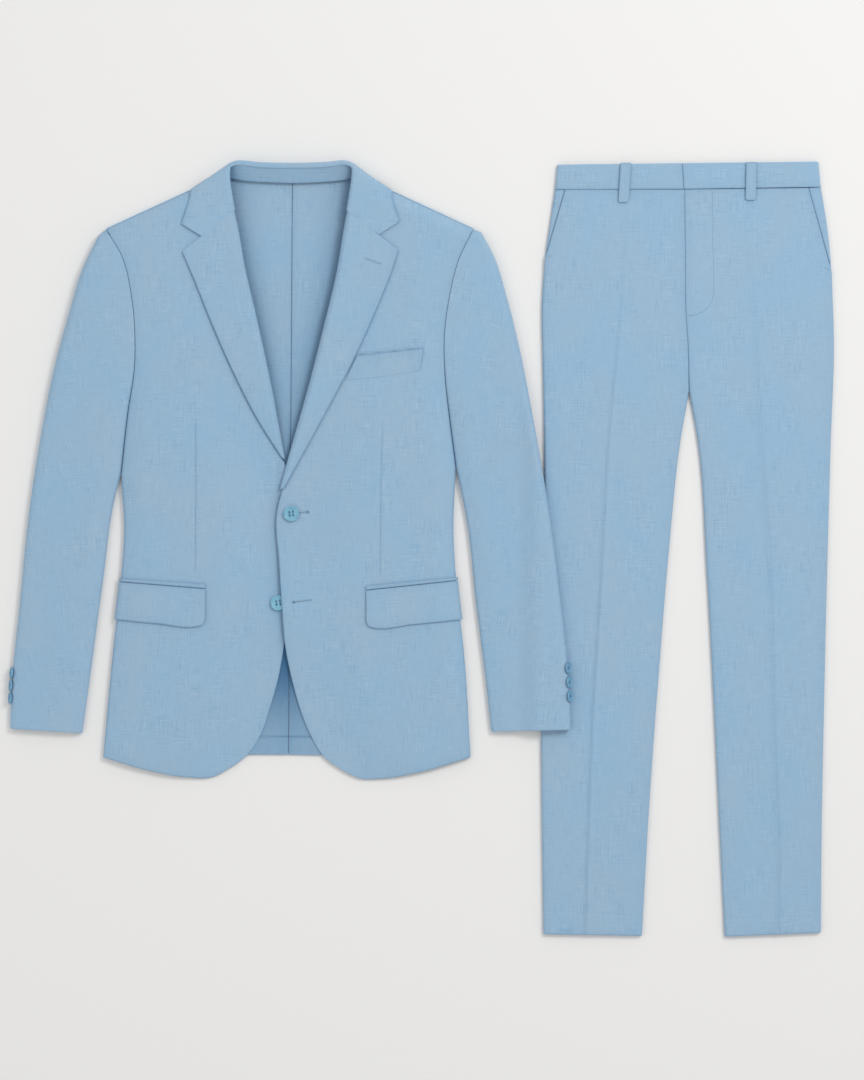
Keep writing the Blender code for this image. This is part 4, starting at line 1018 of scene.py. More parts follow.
def make_sleeve(side, outer, inner, armhole, creases, ride=None):
    sign = -1 if side == "right" else 1
    scye = curve(armhole, sign * SCYE_GAP)
    near = chain(curve(inner + (("armpit", *scye(0)),)), scye, CORNER)
    low = curve((("inner", *inner[0][1:]), ("outer", *outer[0][1:])))
    high = curve((("seam", *scye(1)), ("crown", *outer[-1][1:])))
    height = profile(SLEEVE_HEIGHT)
    folds = {
        "near": (SLEEVE_FOLD, profile(ARMHOLE_SINK), profile(ARMHOLE_TURN)),
        "far": rounded(SLEEVE_EDGE),
        "high": rounded(SLEEVE_EDGE),
    }
    more = {"rolled": ("low",), "detail": relief(creases), "ride": ride}
    edges = (near, curve(outer), low, high)
    top = Panel(*edges, lambda across, up, s, t: height(up), SLEEVE_MIDDLE, folds, **more)
    folds = {
        "near": (UNDER_FOLD, profile(SLEEVE_UNDER_SINK), 4.0),
        "far": rounded(UNDER_FOLD),
        "high": rounded(UNDER_FOLD),
    }
    under = Panel(*edges, None, SLEEVE_MIDDLE, folds, under=True, ride=ride)
    columns = joined(spread(50, 0.8, 4.0), spread(45, 4.0, 0.7), 0.5)
    rows = joined(spread(310, 0.7, 3.0), spread(330, 3.0, 0.8), CORNER)
    grain = -sign * SLEEVE_GRAIN
    name = f"sleeve_top_{side}"
    points = on_jacket(top.point)
    piece = cut(f"{name}_linen", points, columns, rows, grain=grain, plain=SLEEVE_PLAIN)
    lay_down(piece, name, top.point)
    columns = joined(spread(50, 0.9, 6.0, step=6.0), spread(45, 6.0, 0.9, step=6.0), 0.5)
    rows = joined(spread(310, 1.0, 6.0, step=7.0), spread(330, 6.0, 1.0, step=7.0), CORNER)
    name = f"sleeve_under_{side}"
    piece = cut(f"{name}_linen", on_jacket(under.point), columns, rows, grain=grain, under=True)
    lay_down(piece, name, under.point)
    return top


def over_trousers(across):
    share = np.clip((across - RIDE_FROM) / RIDE_WIDTH, 0.0, 1.0)
    return RIDE * share * share * (3 - 2 * share)


right_sleeve = make_sleeve(
    "right", SLEEVE_OUTER_RIGHT, SLEEVE_INNER_RIGHT, ARMHOLE_RIGHT, SLEEVE_CREASES_RIGHT
)
left_sleeve = make_sleeve(
    "left",
    SLEEVE_OUTER_LEFT,
    SLEEVE_INNER_LEFT,
    ARMHOLE_LEFT,
    SLEEVE_CREASES_LEFT,
    over_trousers,
)


# The collar: the leaf is turned down over its fold, lies on the shoulders, and drops behind the
# neck. Its ends stand clear of the lapels' tips, which makes the notches.
# A section starts at the fold, crosses the middle (at the ends the notch) and reaches the outer
# edge: name, fold across, up, height and turned-down depth, then middle and edge, each with
# its across, up and height.
COLLAR = (
    ("right gorge", -70, 705, 22.0, 5.0, -113, 671, 21.4, -139, 687, 21.4),
    ("right leaf", -73, 722, 22.5, 5.0, -106, 700, 21.6, -133, 705, 21.4),
    ("right neck side", -76, 742, 22.8, 4.6, -101, 728, 21.2, -128, 723, 18.8),
    ("right shoulder", -76, 755, 22.8, 3.6, -99, 747, 19.0, -126, 733, 13.0),
    ("right neck point", -74, 760, 22.2, 2.6, -88, 758, 14.0, -105, 747, 3.0),
    ("right corner", -64, 762, 21.2, 2.0, -69, 769, 12.0, -76, 764, 1.8),
    ("right nape", -38, 759, 20.6, 1.8, -38, 767, 12.0, -38, 763, 1.8),
    ("nape", 2, 758, 20.2, 1.8, 2, 766, 12.0, 2, 762, 1.8),
    ("left nape", 42, 759, 20.6, 1.8, 42, 767, 12.0, 42, 763, 1.8),
    ("left corner", 68, 762, 21.2, 2.0, 73, 769, 12.0, 80, 764, 1.8),
    ("left neck point", 78, 760, 22.2, 2.6, 92, 758, 14.0, 109, 746, 3.0),
    ("left shoulder", 80, 755, 22.8, 3.6, 103, 746, 19.0, 131, 731, 13.0),
    ("left neck side", 79, 742, 22.8, 4.6, 104, 728, 21.2, 132, 721, 18.8),
    ("left leaf", 76, 722, 22.5, 5.0, 108, 701, 21.6, 136, 706, 21.4),
    ("left gorge", 73, 705, 22.0, 5.0, 115, 673, 21.4, 142, 690, 21.4),
)
# The stand, from right to left: its seam and its top, each with across, up and height.
STAND = (
    ("right end", -80, 747, 8.5, -80, 760, 16.0), ("right side", -58, 743, 8.5, -57, 764, 20.6),
    ("right nape", -28, 741, 8.5, -28, 762.2, 20.2), ("nape", 4, 740, 8.5, 2, 761.6, 20.1),
    ("left nape", 33, 741, 8.5, 32, 762.2, 20.2), ("left side", 62, 743, 8.5, 61, 764, 20.6),
    ("left end", 84, 747, 8.5, 84, 760, 16.0),
)
COLLAR_TURN = 5.5
COLLAR_BOW = 0.4
STAND_HOLLOW = 0.6
GORGE_TUCK = 0.5  # how far the leaf's ends are drawn onto the lapels by the gorge seam
MIDDLE_SHARE = 0.6  # the share at which a collar section passes its middle
TURN_SHARE = 0.22  # the share of a collar section's columns that goes round the fold


def collar_leaf(g, h):
    """The collar's outer face: g runs from the fold to the edge, h from right to left."""
    rows = np.array([row[1:] for row in COLLAR], float)
    row = between(rows, np.arange(len(rows)), h * (len(rows) - 1))
    fold, crown, drop = row[:, 0:2], row[:, 2], row[:, 3]
    middle, middle_height, edge, edge_height = row[:, 4:6], row[:, 6], row[:, 7:9], row[:, 9]
    out = (middle - fold) / np.linalg.norm(middle - fold, axis=1)[:, None]
    angle = 0.5 * np.pi * np.clip(g / TURN_SHARE, 0, 1)
    turned = fold + out * (COLLAR_TURN * (1 - np.cos(angle)))[:, None]
    turned_height = crown - drop * (1 - np.sin(angle))
    inner = np.clip((g - TURN_SHARE) / (MIDDLE_SHARE - TURN_SHARE), 0, 1)
    outer = np.clip((g - MIDDLE_SHARE) / (1 - MIDDLE_SHARE), 0, 1)
    start = fold + out * COLLAR_TURN
    place = start + (middle - start) * inner[:, None] + (edge - middle) * outer[:, None]
    height = crown + (middle_height - crown) * inner + (edge_height - middle_height) * outer
    place = np.where((g < TURN_SHARE)[:, None], turned, place)
    to_end = np.minimum(h, 1 - h) * (len(rows) - 1)
    place[:, 1] -= GORGE_TUCK * np.clip(1 - 2 * to_end, 0, 1) * np.clip(4 - 6 * g, 0, 1)
    height = np.where(g < TURN_SHARE, turned_height, height) + COLLAR_BOW * np.sin(np.pi * outer)
    size = np.linalg.norm(edge - middle, axis=1)
    inside = np.clip((1 - g) / (1 - MIDDLE_SHARE) * size / ROLLED_EDGE, 0, 1)
    return np.column_stack((place, height - 0.6 * quarter_round(inside)))


def collar_stand(g, h):
    rows = np.array([row[1:] for row in STAND], float)
    row = between(rows, np.arange(len(rows)), h * (len(rows) - 1))
    place = row[:, 0:3] + (row[:, 3:6] - row[:, 0:3]) * g[:, None]
    place[:, 2] -= STAND_HOLLOW * np.sin(np.pi * g)
    return place


even = np.linspace(0, 1, 14)
columns = joined(joined(np.linspace(0, 1, 9), even, 0.37), even, MIDDLE_SHARE)
rows = spread(420, 0.5, 0.5, step=2.4)
plain = ("near", "low", "high")
piece = cut("collar_linen", on_jacket(collar_leaf), columns, rows, grain=90, plain=plain)
lay_down(piece, "collar", collar_leaf)
columns, rows = np.linspace(0, 1, 12), np.linspace(0, 1, 60)


# Painted shade on the collar stand: deeper towards both ends, and faint all along.
def painted_stand_shade(net):
    across = abs(net[..., 0] - JACKET[0] - 2)
    return 0.4 * np.exp(-(76 - np.minimum(across, 76)) / 9) + 0.02


marks = {"grain": 90, "plain": ("far", "low", "high"), "hollow": painted_stand_shade}
piece = cut("stand_linen", on_jacket(collar_stand), columns, rows, **marks)
lay_down(piece, "collar_stand", collar_stand)


# The trousers' legs: each a front and a back, creased by the press along the middle of the leg,
# with the fly's left side lapping over, slant pockets, and a blind-stitched hem.
LEG_FOLD = 6.0
LEG_MIDDLE, LEG_HEIGHT = 3.6, 7.2
CROTCH, HIP = 0.73, 0.905
CENTRE_SEAM = (
    ("crotch", 5, 702), ("crotch curve", 3, 771), ("bartack", 1, 799), ("fly", 0, 880),
    ("waist", -1, 962),
)
INSIDE_LEG_RIGHT = (
    ("hem", -56, -1), ("shin", -45, 190), ("knee", -34, 339), ("thigh", -21, 497),
    ("upper thigh", -6, 639), ("crotch", 5, 702),
)
INSIDE_LEG_LEFT = (
    ("hem", 51, -2), ("shin", 43, 165), ("knee", 38, 275), ("thigh", 28, 467),
    ("upper thigh", 16, 639), ("crotch", 5, 702),
)
OUTSIDE_LEG_RIGHT = (
    ("hem", -183, 1), ("shin", -186, 260), ("thigh", -182, 639), ("upper thigh", -184, 743),
    ("hip", -185, 813), ("pocket end", -181, 873),
)
OUTSIDE_LEG_LEFT = (
    ("hem", 175, 3), ("shin", 176, 125), ("knee", 179, 284), ("thigh", 188, 639),
    ("upper thigh", 192, 760), ("pocket end", 189, 856),
)
POCKET_RIGHT = (("pocket end", -181, 873), ("pocket mouth", -155, 962))
POCKET_LEFT = (("pocket end", 189, 856), ("pocket mouth", 159, 964))
HIP_RIGHT = (("pocket end", -181, 873), ("hip", -174, 921), ("waist", -168, 962))
HIP_LEFT = (("pocket end", 189, 856), ("hip", 184, 908), ("waist", 175, 965))
WAIST_SEAM_RIGHT = (("centre", -1, 962), ("pocket mouth", -155, 962))
WAIST_SEAM_LEFT = (("centre", -1, 963), ("pocket mouth", 159, 964))
WAIST_BACK_RIGHT = (("centre", -1, 960), ("side", -168, 962))
WAIST_BACK_LEFT = (("centre", -1, 960), ("side", 175, 965))
LEG_HEM_RIGHT = (("inside", -56, -1), ("outside", -183, 1))
LEG_HEM_LEFT = (("inside", 51, -2), ("outside", 175, 3))
CREASE_RIGHT = (
    ("hem", -127, 0), ("shin", -124, 125), ("knee", -118, 275), ("thigh", -107, 459),
    ("upper thigh", -97, 639), ("hip", -82, 799), ("waist", -72, 962),
)
CREASE_LEFT = (
    ("hem", 119, 0), ("shin", 119, 125), ("knee", 113, 275), ("thigh", 109, 459),
    ("upper thigh", 95, 667), ("hip", 90, 777), ("waist", 76, 964),
)
CROTCH_SINK = ((0, 1.0), (700, 1.0), (725, 0.5), (770, 0.2), (830, 0.14), (965, 0.12))
CROTCH_TURN = ((0, 4.0), (690, 4.0), (740, 2.2), (965, 1.6))
POCKET_SINK = ((0, 1.0), (830, 1.0), (880, 0.25), (965, 0.14))
POCKET_TURN = ((0, 4.0), (840, 4.0), (880, 2.0), (965, 1.6))
SEAT_SINK = ((0, 1.0), (690, 1.0), (720, 0.0), (965, 0.0))
PRESSED_RISE = ((0, 1.5), (450, 1.4), (700, 1.0), (860, 0.4), (962, 0.05))
HEM_LINE_RIGHT = (("outside", -183, 31.5), ("inside", -56, 25))
HEM_LINE_LEFT = (("inside", 51, 21), ("outside", 175, 24.5))
FACING_GAP, FACING_START = 0.5, 0.12
LEG_CREASES_RIGHT = (
    (-8, 726, -66, 700, 7, -0.5), (-10, 752, -80, 742, 8, -0.35), (-4, 690, -56, 640, 9, 0.4),
    (-176, 700, -120, 690, 10, -0.3), (-36, 380, -92, 352, 11, -0.35),
    (-178, 352, -132, 330, 10, 0.3), (-60, 120, -104, 150, 12, 0.25),
    (-28, 600, -60, 480, 13, -0.35), (-150, 620, -158, 450, 14, -0.3),
    (-146, 240, -152, 90, 13, 0.25),
)
LEG_CREASES_LEFT = (
    (16, 724, 72, 702, 7, -0.45), (14, 752, 84, 744, 8, -0.3), (20, 684, 62, 640, 9, 0.35),
    (186, 720, 130, 706, 10, -0.3), (42, 366, 96, 344, 11, -0.35), (178, 340, 132, 322, 10, 0.3),
    (58, 112, 100, 140, 12, 0.25), (34, 590, 62, 470, 13, -0.35), (150, 610, 156, 450, 14, -0.3),
    (148, 230, 150, 90, 13, 0.25),
)

# The fly line's place at the hem, on the board, in millimetres.
trousers_front_low, trousers_front_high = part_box("trousers_front_right")
TROUSERS = (1000 * trousers_front_high.x - 4.8, 1000 * trousers_front_low.y + 1.0)


def on_trousers(points):
    return lambda s, t: points(s, t) + (*TROUSERS, 0)


def make_leg(side, outside, inside, pocket, hip, waist, waist_back, hem, crease, hem_line, creases):
    sign = -1 if side == "right" else 1
    centre = curve(CENTRE_SEAM, sign * SEAM / 2)
    leg = curve(inside[:-1] + (("crotch", *centre(0)),))
    near = chain(leg, centre, CROTCH)
    far = chain(curve(outside), curve(pocket), HIP)
    high = curve((("centre", *centre(1)),) + waist[1:])
    folds = {
        "near": (LEG_FOLD, profile(CROTCH_SINK), profile(CROTCH_TURN)),
        "far": (LEG_FOLD, profile(POCKET_SINK), profile(POCKET_TURN)),
    }
    crease_places = curve(crease)(np.linspace(0, 1, 60))
    crease_across = profile(crease_places[:, ::-1])
    pressed, soft = profile(PRESSED_RISE), relief(creases)
    (_, a0, u0), (_, a1, u1) = hem_line

    def detail(across, up):
        aside = abs(across - crease_across(up))
        ridge = pressed(up) * (np.exp(-aside / 7.0) - 0.35 * np.exp(-(((aside - 6) / 5) ** 2)))
        from_hem_line = up - (u0 + (across - a0) * (u1 - u0) / (a1 - a0))
        hem_stitch = -0.3 * np.exp(-((from_hem_line / 1.1) ** 2))
        double = 0.25 / (1 + np.exp(from_hem_line / 1.5))
        return soft(across, up) + ridge + hem_stitch + double

    def hollow(net):
        """Painted shade on one side of the pressed crease."""
        across, up = net[..., 0] - TROUSERS[0], net[..., 1] - TROUSERS[1]
        aside = across - crease_across(up)
        return 0.075 * pressed(up) * np.exp(-(((aside - sign * 2.2) / 2.4) ** 2))

    def height(across, up, s, t):
        return np.full_like(across, LEG_HEIGHT - 0.5)

    more = {"rolled": ("low",), "detail": detail}
    front = Panel(near, far, curve(hem), high, height, LEG_MIDDLE, folds, **more)
    columns = joined(spread(80, 0.6, 0.6), spread(75, 0.6, 0.7), 0.5)
    low_rows = joined(spread(36, 0.7, 1.2, step=1.2), spread(665, 2.0, 2.0), 36 / 701)
    rows = joined(low_rows, spread(260, 2.0, 0.6), CROTCH)
    name = f"trousers_front_{side}"
    points = on_trousers(following(front, crease_places))
    piece = cut(f"{name}_linen", points, columns, rows, hollow=hollow)
    lay_down(piece, name, front.point)

    back_far = chain(curve(outside), curve(hip), HIP)
    back_high = curve((("centre", *centre(1)),) + waist_back[1:])
    folds = {
        "near": (UNDER_FOLD, profile(SEAT_SINK), 4.0),
        "far": rounded(UNDER_FOLD),
    }
    back = Panel(near, back_far, curve(hem), back_high, None, LEG_MIDDLE, folds, under=True)
    columns = joined(spread(80, 0.9, 8.0, step=UNDER_STEP), spread(75, 8.0, 0.9, step=UNDER_STEP), 0.5)
    rows = joined(spread(700, 2, 3, step=UNDER_STEP), spread(260, 3, 2, step=UNDER_STEP), CROTCH)
    name = f"trousers_back_{side}"
    piece = cut(f"{name}_linen", on_trousers(back.point), columns, rows, under=True)
    lay_down(piece, name, back.point)

    mouth, edge = curve(pocket, sign * FACING_GAP), curve(hip)
    low = curve((("mouth", *mouth(FACING_START)), ("hip", *edge(FACING_START))))
    top = curve((("mouth", *mouth(1)), ("hip", *edge(1))))

    def above(line):
        return lambda t: line(FACING_START + (1 - FACING_START) * np.asarray(t, float))

    folds = {"far": rounded(LEG_FOLD)}
    edges = (above(mouth), above(edge), low, top)
    facing = Panel(*edges, lambda across, up, s, t: height(across, up, s, t) - 0.6, LEG_MIDDLE, folds)
    name = f"pocket_facing_{side}"
    columns, rows = spread(12, 1.0, 0.6, step=2.0), spread(88, 1.5, 1.5, step=3.0)
    piece = cut(f"{name}_linen", on_trousers(facing.point), columns, rows)
    lay_down(piece, name, facing.point)
    return front


right_leg = make_leg(
    "right",
    OUTSIDE_LEG_RIGHT,
    INSIDE_LEG_RIGHT,
    POCKET_RIGHT,
    HIP_RIGHT,
    WAIST_SEAM_RIGHT,
    WAIST_BACK_RIGHT,
    LEG_HEM_RIGHT,
    CREASE_RIGHT,
    HEM_LINE_RIGHT,
    LEG_CREASES_RIGHT,
)
left_leg = make_leg(
    "left",
    OUTSIDE_LEG_LEFT,
    INSIDE_LEG_LEFT,
    POCKET_LEFT,
    HIP_LEFT,
    WAIST_SEAM_LEFT,
    WAIST_BACK_LEFT,
    LEG_HEM_LEFT,
    CREASE_LEFT,
    HEM_LINE_LEFT,
    LEG_CREASES_LEFT,
)


# The waistband: two front halves and a back one, on firm interlining, so it lies a little
# higher than the legs and keeps a crisp top edge.
BAND_RIGHT = (("seam", -168, 962.2), ("top", -165, 994))
BAND_LEFT = (("seam", 175, 965.2), ("top", 172, 998))
BAND_CENTRE = (("seam", -2, 962.6), ("top", -4, 996))
BAND_HEIGHT = 7.2


def make_waistband(name, near, far, folds, rests_on, under=False):
    low = curve((("near", *near(0)), ("far", *far(0))))
    high = curve((("near", *near(1)), ("far", *far(1))))

    def height(across, up, s, t):
        return np.full_like(across, BAND_HEIGHT)

    rolled = () if under else ("near", "high")
    band = Panel(near, far, low, high, height, LEG_MIDDLE, folds, under=under, rolled=rolled)
    step = UNDER_STEP if under else 3.0
    columns, rows = spread(170, 0.8, 0.8, step=step), spread(32, 0.6, 0.6, step=min(step, 4.0))
    marks = {"grain": 90, "under": under, "plain": ("far", "high")}
    piece = cut(f"{name}_linen", on_trousers(band.point), columns, rows, **marks)
    lay_down(piece, name, band.point)


for side, edge, shift in (("right", BAND_RIGHT, -SEAM / 2), ("left", BAND_LEFT, SEAM / 2)):
    edges, folds = (curve(BAND_CENTRE, shift), curve(edge)), {"far": rounded(LEG_FOLD)}
    make_waistband(f"waistband_front_{side}", *edges, folds, ["waistband_back_linen"])
folds = {"near": rounded(UNDER_FOLD), "far": rounded(UNDER_FOLD)}
make_waistband("waistband_back", curve(BAND_RIGHT), curve(BAND_LEFT), folds, ["board"], under=True)


# The belt loops: narrow folded straps, tacked on below the waistband and at its top edge.
LOOP_WIDTH = 13.5
LOOPS = (("right", -80, -77, 945, 996), ("left", 84, 85, 948, 997))
LOOP_HEIGHT = ((944, 9.0), (950, 9.5), (957, 9.9), (966, 10.4), (985, 10.5), (999, 10.0))
LOOP_CORNER = 2.6


def make_belt_loop(side, low_across, top_across, low_up, top_up):
    height = profile(LOOP_HEIGHT)

    def strap(g, h):
        up = low_up + (top_up - low_up) * h
        corner = np.clip(1 - (up - low_up) / LOOP_CORNER, 0, 1)
        narrow = LOOP_CORNER * (1 - np.sqrt(1 - corner**2))
        across = low_across + (top_across - low_across) * h + (LOOP_WIDTH - 2 * narrow) * (g - 0.5)
        edge = np.clip(np.minimum(g, 1 - g) * LOOP_WIDTH / 1.6, 0, 1)
        z = height(up) - 0.6 * quarter_round(edge)
        return np.column_stack((across, up, z))

    name = f"belt_loop_{side}"
    columns, rows = spread(13.5, 0.5, 0.5, step=1.5), spread(50, 0.5, 0.8, step=1.8)
    piece = cut(f"{name}_linen", on_trousers(strap), columns, rows, thickness=1.4)
    lay_down(piece, name, strap)


for row in LOOPS:
    make_belt_loop(*row)


# The buttons: turned discs of blue-dyed horn with a raised rim and a dished face, sewn on
# through four holes. Two are on the front, and three that kiss are on each sleeve's vent.
HORN_BLUE, HORN_DEEP = (0.22, 0.50, 0.65, 1.0), (0.11, 0.33, 0.50, 1.0)
CUFF_BLUE, CUFF_DEEP = (0.18, 0.40, 0.58, 1.0), (0.08, 0.24, 0.41, 1.0)
THREAD_COLOUR, THREAD_PALE = (0.13, 0.26, 0.42, 1.0), (0.36, 0.54, 0.69, 1.0)
UPPER_BUTTON, LOWER_BUTTON = (2, 314), (-15, 199)
FRONT_BUTTON, CUFF_BUTTON = (10.0, 3.0), (7.6, 2.6)  # radius, thickness
BUTTON_GAP, CUFF_GAP = 1.4, 0.4
CUFF_BUTTONS_RIGHT, CUFF_BUTTONS_LEFT = (108, 92, 76), (115, 97, 79)
BUTTON_TILT_RIGHT, BUTTON_TILT_LEFT = 68.0, 56.0
THREAD_BAR = ((-0.25, -0.9), (-0.24, 0.05), (-0.12, 0.3), (0.12, 0.3), (0.24, 0.05), (0.25, -0.9))


def horn_finish(name, light, deep):
    finish = Finish(name, Coat_Weight=0.25, Coat_Roughness=0.3, IOR=1.5)
    place = finish.node("ShaderNodeTexCoord", output=3)
    values = {"Vector": place, "Scale": 170.0, "Detail": 3.0, "Distortion": 1.2}
    cloud = finish.node("ShaderNodeTexNoise", {}, values)
    tone = finish.blend(finish.limit(cloud, 0.4, 0.7) * 0.6, light, deep)
    finish.plug(tone, finish.shader.inputs["Base Color"])
    finish.plug(0.34 + 0.16 * cloud, finish.shader.inputs["Roughness"])
    return finish.material


def thread_finish(name, colour):
    finish = Finish(name, Roughness=0.7, Sheen_Weight=0.2)
    place = finish.node("ShaderNodeTexCoord", output=3)
    noise = finish.node("ShaderNodeTexNoise", {}, {"Vector": place, "Scale": 1400.0})
    tone = finish.blend(noise * 0.6, colour, tuple(0.7 * part for part in colour[:3]) + (1,))
    finish.plug(tone, finish.shader.inputs["Base Color"])
    return finish.material


def sewn(name, runs, radius, material, garment):
    """Thread: one thin tube for each run of points, in one piece."""
    line = bpy.data.curves.new(name, "CURVE")
    line.dimensions = "3D"
    line.bevel_depth, line.bevel_resolution = radius / 1000, 1
    line.use_fill_caps = True
    for run in runs:
        spline = line.splines.new("POLY")
        spline.points.add(len(run) - 1)
        for point, place in zip(spline.points, np.asarray(run) + (*garment, 0)):
            point.co = (*(place / 1000), 1.0)
    drawn = bpy.data.objects.new(name, line)
    mesh = bpy.data.meshes.new_from_object(drawn)
    bpy.data.objects.remove(drawn)
    mesh.materials.clear()
    mesh.materials.append(material)
    mesh.polygons.foreach_set("use_smooth", [True] * len(mesh.polygons))
    piece = bpy.data.objects.new(name, mesh)
    bpy.context.collection.objects.link(piece)
    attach(piece, "root")


horn = horn_finish("dyed horn", HORN_BLUE, HORN_DEEP)
cuff_horn = horn_finish("cuff horn", CUFF_BLUE, CUFF_DEEP)
dark_thread = thread_finish("button thread", THREAD_COLOUR)
pale_thread = thread_finish("silk twist", THREAD_PALE)


def sew_on_button(node, size, place, lean, turn, garment):
    radius, half = size[0] / 1000, size[1] / 2000
    outline = (
        (0, -half),
        (0.86 * radius, -half),
        (0.97 * radius, -0.6 * half),
        (radius, 0.0),
        (0.985 * radius, 0.6 * half),
        (0.92 * radius, half),
        (0.85 * radius, 0.97 * half),
        (0.77 * radius, 0.45 * half),
        (0.68 * radius, 0.12 * half),
        (0, -0.05 * half),
    )
    form = bmesh.new()
    verts = [form.verts.new((x, 0, z)) for x, z in outline]
    edges = [form.edges.new(pair) for pair in zip(verts, verts[1:])]
    axis, turned = (0, 0, 1), verts + edges
    bmesh.ops.spin(form, geom=turned, axis=axis, angle=math.tau, steps=40, use_merge=True)
    bmesh.ops.remove_doubles(form, verts=form.verts, dist=1e-6)
    bmesh.ops.recalc_face_normals(form, faces=form.faces)
    disc = bpy.data.meshes.new(node)
    form.to_mesh(disc)
    form.clear()
    for x, y in ((-1, -1), (1, -1), (-1, 1), (1, 1)):
        put = Matrix.Translation((0.24 * radius * x, 0.24 * radius * y, 0))
        size_of = {"radius1": 0.11 * radius, "radius2": 0.11 * radius, "depth": 3 * half}
        bmesh.ops.create_cone(form, cap_ends=True, segments=12, matrix=put, **size_of)
    holes_mesh = bpy.data.meshes.new(f"{node}_holes")
    form.to_mesh(holes_mesh)
    form.free()
    body, holes = (bpy.data.objects.new(mesh.name, mesh) for mesh in (disc, holes_mesh))
    for one in (body, holes):
        bpy.context.collection.objects.link(one)
    drill = body.modifiers.new("holes", "BOOLEAN")
    drill.object, drill.solver = holes, "EXACT"
    drilled_body = body.evaluated_get(bpy.context.evaluated_depsgraph_get())
    drilled = bpy.data.meshes.new_from_object(drilled_body)
    for one in (body, holes):
        bpy.data.objects.remove(one)
    stand = Matrix.Translation(Vector((*(np.array(place[:2]) + garment), place[2])) / 1000)
    stand = stand @ Euler((0, math.radians(lean), math.radians(turn))).to_matrix().to_4x4()
    drilled.transform(stand)
    drilled.materials.clear()
    drilled.materials.append(horn if size == FRONT_BUTTON else cuff_horn)
    drilled.polygons.foreach_set("use_smooth", [True] * len(drilled.polygons))
    piece = bpy.data.objects.new(f"{node}_horn", drilled)
    bpy.context.collection.objects.link(piece)
    piece.modifiers.new("even shading", "WEIGHTED_NORMAL").keep_sharp = True
    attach(piece, "root")
    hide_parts(node)
    runs = []
    for side in (-1, 1):
        bar = [(side * 0.24, share, depth) for share, depth in THREAD_BAR]
        ends = [stand @ Vector((radius * x, radius * y, half * z)) for x, y, z in bar]
        runs.append([tuple(1000 * end - Vector((*garment, 0))) for end in ends])
    sewn(f"{node}_thread", runs, 0.055 * size[0], dark_thread, garment)


for node, front, (across, up) in (
    ("front_button_upper", left_front, UPPER_BUTTON),
    ("front_button_lower", right_front, LOWER_BUTTON),
):
    place = front.over(np.array(float(across)), np.array(float(up)))
    place[2] += BUTTON_GAP + FRONT_BUTTON[1] / 2
    sew_on_button(node, FRONT_BUTTON, place, 0.0, 6.0, JACKET)

for side, sleeve, places, tilt in (
    ("right", right_sleeve, CUFF_BUTTONS_RIGHT, BUTTON_TILT_RIGHT),
    ("left", left_sleeve, CUFF_BUTTONS_LEFT, BUTTON_TILT_LEFT),
):
    for number, up in enumerate(places, start=1):
        t = (up - sleeve.plan(1.0, 0.0)[1]) / sleeve.length(1.0)
        inside = NOSE * (1 - math.sin(math.radians(tilt)))
        s = np.array(1 - inside / sleeve.width(t))
        out = sleeve.normal(s, np.array(t))
        place = sleeve.point(s, np.array(t)) + out * (CUFF_GAP + CUFF_BUTTON[1] / 2)
        lean, turn = math.degrees(math.acos(out[2])), math.degrees(math.atan2(out[1], out[0]))
        sew_on_button(f"cuff_button_{side}_{number}", CUFF_BUTTON, place, lean, turn, JACKET)


# The sewing that shows: keyhole buttonholes worked in silk twist, the lapel's buttonhole, the
# fly's J-stitch and bar tacks, and the blind stitches of the trousers' hems.
def on_panel(panel, points, lift):
    points = np.asarray(points, float)
    return panel.over(points[:, 0], points[:, 1], lift)


def heading(start, end):
    """The way from one place to another, the way across it, and how far apart they are."""
    size = np.linalg.norm(end - start)
    way = (end - start) / size
    return way, np.array((-way[1], way[0])), size


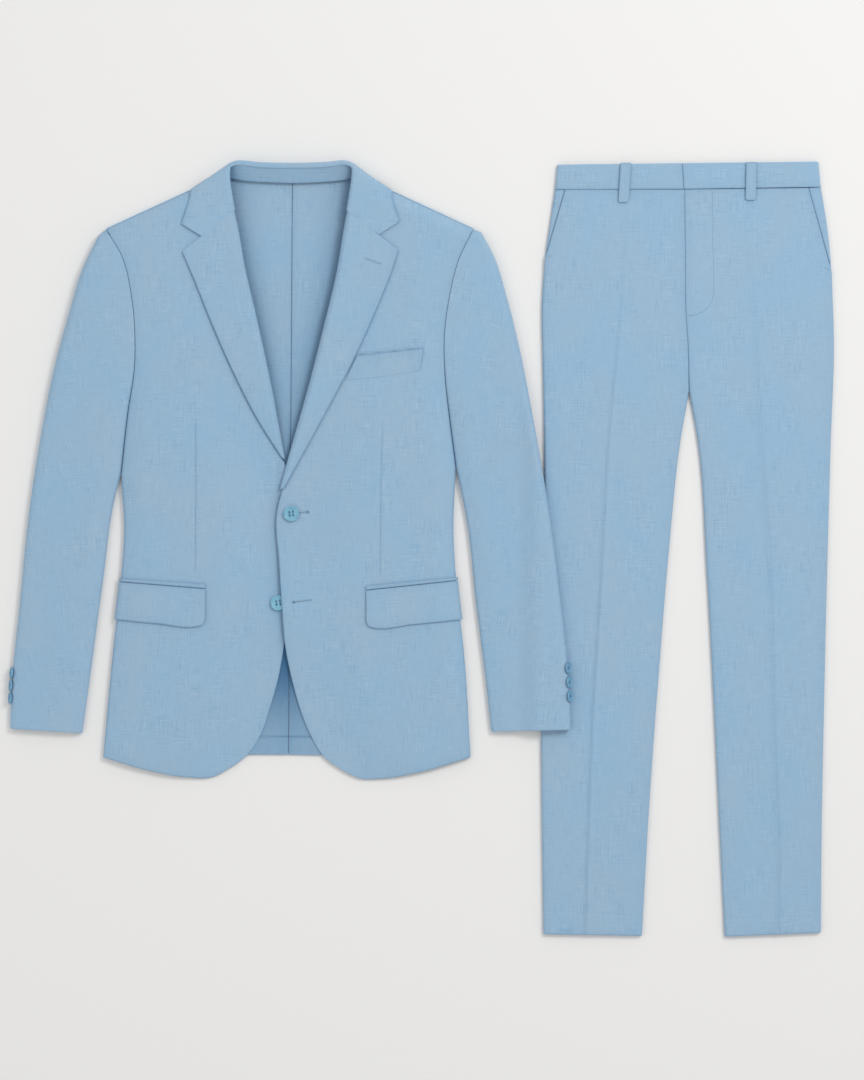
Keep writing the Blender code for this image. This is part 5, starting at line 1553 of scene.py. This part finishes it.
def work_buttonhole(name, panel, start, end, eyelet):
    start, end = np.array(start, float), np.array(end, float)
    way, aside, size = heading(start, end)
    runs = []
    for step in np.arange(0, size, 0.75):
        middle_of = start + way * step
        for sign in (-1, 1):
            ends = [middle_of + aside * sign * reach for reach in (0.25, 0.7, 1.15)]
            points = on_panel(panel, ends, 0.0)
            points[:, 2] += (0.05, 0.3, -0.05)
            runs.append(points)
    bead = [start + way * size * share for share in np.linspace(0, 1, 12)]
    rim = [end + eyelet * np.array((math.cos(a), math.sin(a))) for a in np.linspace(0, math.tau, 14)]
    sewn(name, runs, 0.3, pale_thread, JACKET)
    if eyelet:
        sewn(f"{name}_slit", [on_panel(panel, bead, 0.0)], 0.22, dark_thread, JACKET)
        sewn(f"{name}_eyelet", [on_panel(panel, rim, 0.2)], 0.6, dark_thread, JACKET)


work_buttonhole("buttonhole_upper", left_front, (11, 315), (23, 316.3), 1.3)
work_buttonhole("buttonhole_lower", left_front, (28, 203), (5.5, 200), 1.3)
work_buttonhole("buttonhole_lapel", left_lapel, (98, 642), (118.5, 635), 0.0)


def stitched(name, panel, line, material, pitch=3.2, length=2.2, radius=0.2, dip=0.12):
    """A row of stitches along a line of places: how far apart and how long they are."""
    line = np.array(line, float)
    steps = np.concatenate(([0.0], np.cumsum(np.linalg.norm(np.diff(line, axis=0), axis=1))))
    runs = []
    for start in np.arange(0, steps[-1] - length, pitch):
        at = np.array((start, start + 0.25 * length, start + 0.75 * length, start + length))
        points = on_panel(panel, between(line, steps, at), 0.0)
        points[:, 2] += (-dip, 0.12, 0.12, -dip)
        runs.append(points)
    sewn(name, runs, radius, material, TROUSERS)


J_STITCH = ((35, 959), (35, 925), (35.4, 890), (36.6, 850), (36, 828), (32, 814), (24, 805), (14, 800))
stitched("fly_stitches", left_leg, J_STITCH, dark_thread, radius=0.17)
for name, panel, start, end in (
    ("fly_bar_tack", left_leg, (2.5, 799.3), (14.5, 800)),
    ("pocket_bar_tack_right", right_leg, (-178, 874.5), (-172, 877)),
    ("pocket_bar_tack_left", left_leg, (186, 858), (180, 861)),
):
    ends = np.array((start, end), float)
    way, aside, size = heading(*ends)
    tack = [
        on_panel(panel, [place - aside * 0.8, place, place + aside * 0.8], 0.05)
        for place in (ends[0] + way * step for step in np.arange(0, size, 0.55))
    ]
    sewn(name, tack, 0.26, pale_thread, TROUSERS)
for side, panel, line in (("right", right_leg, HEM_LINE_RIGHT), ("left", left_leg, HEM_LINE_LEFT)):
    (_, *first), (_, *last) = line
    hem_run = [first, last]
    stitched(f"hem_stitches_{side}", panel, hem_run, dark_thread, 7.5, 1.5, 0.16, 0.2)
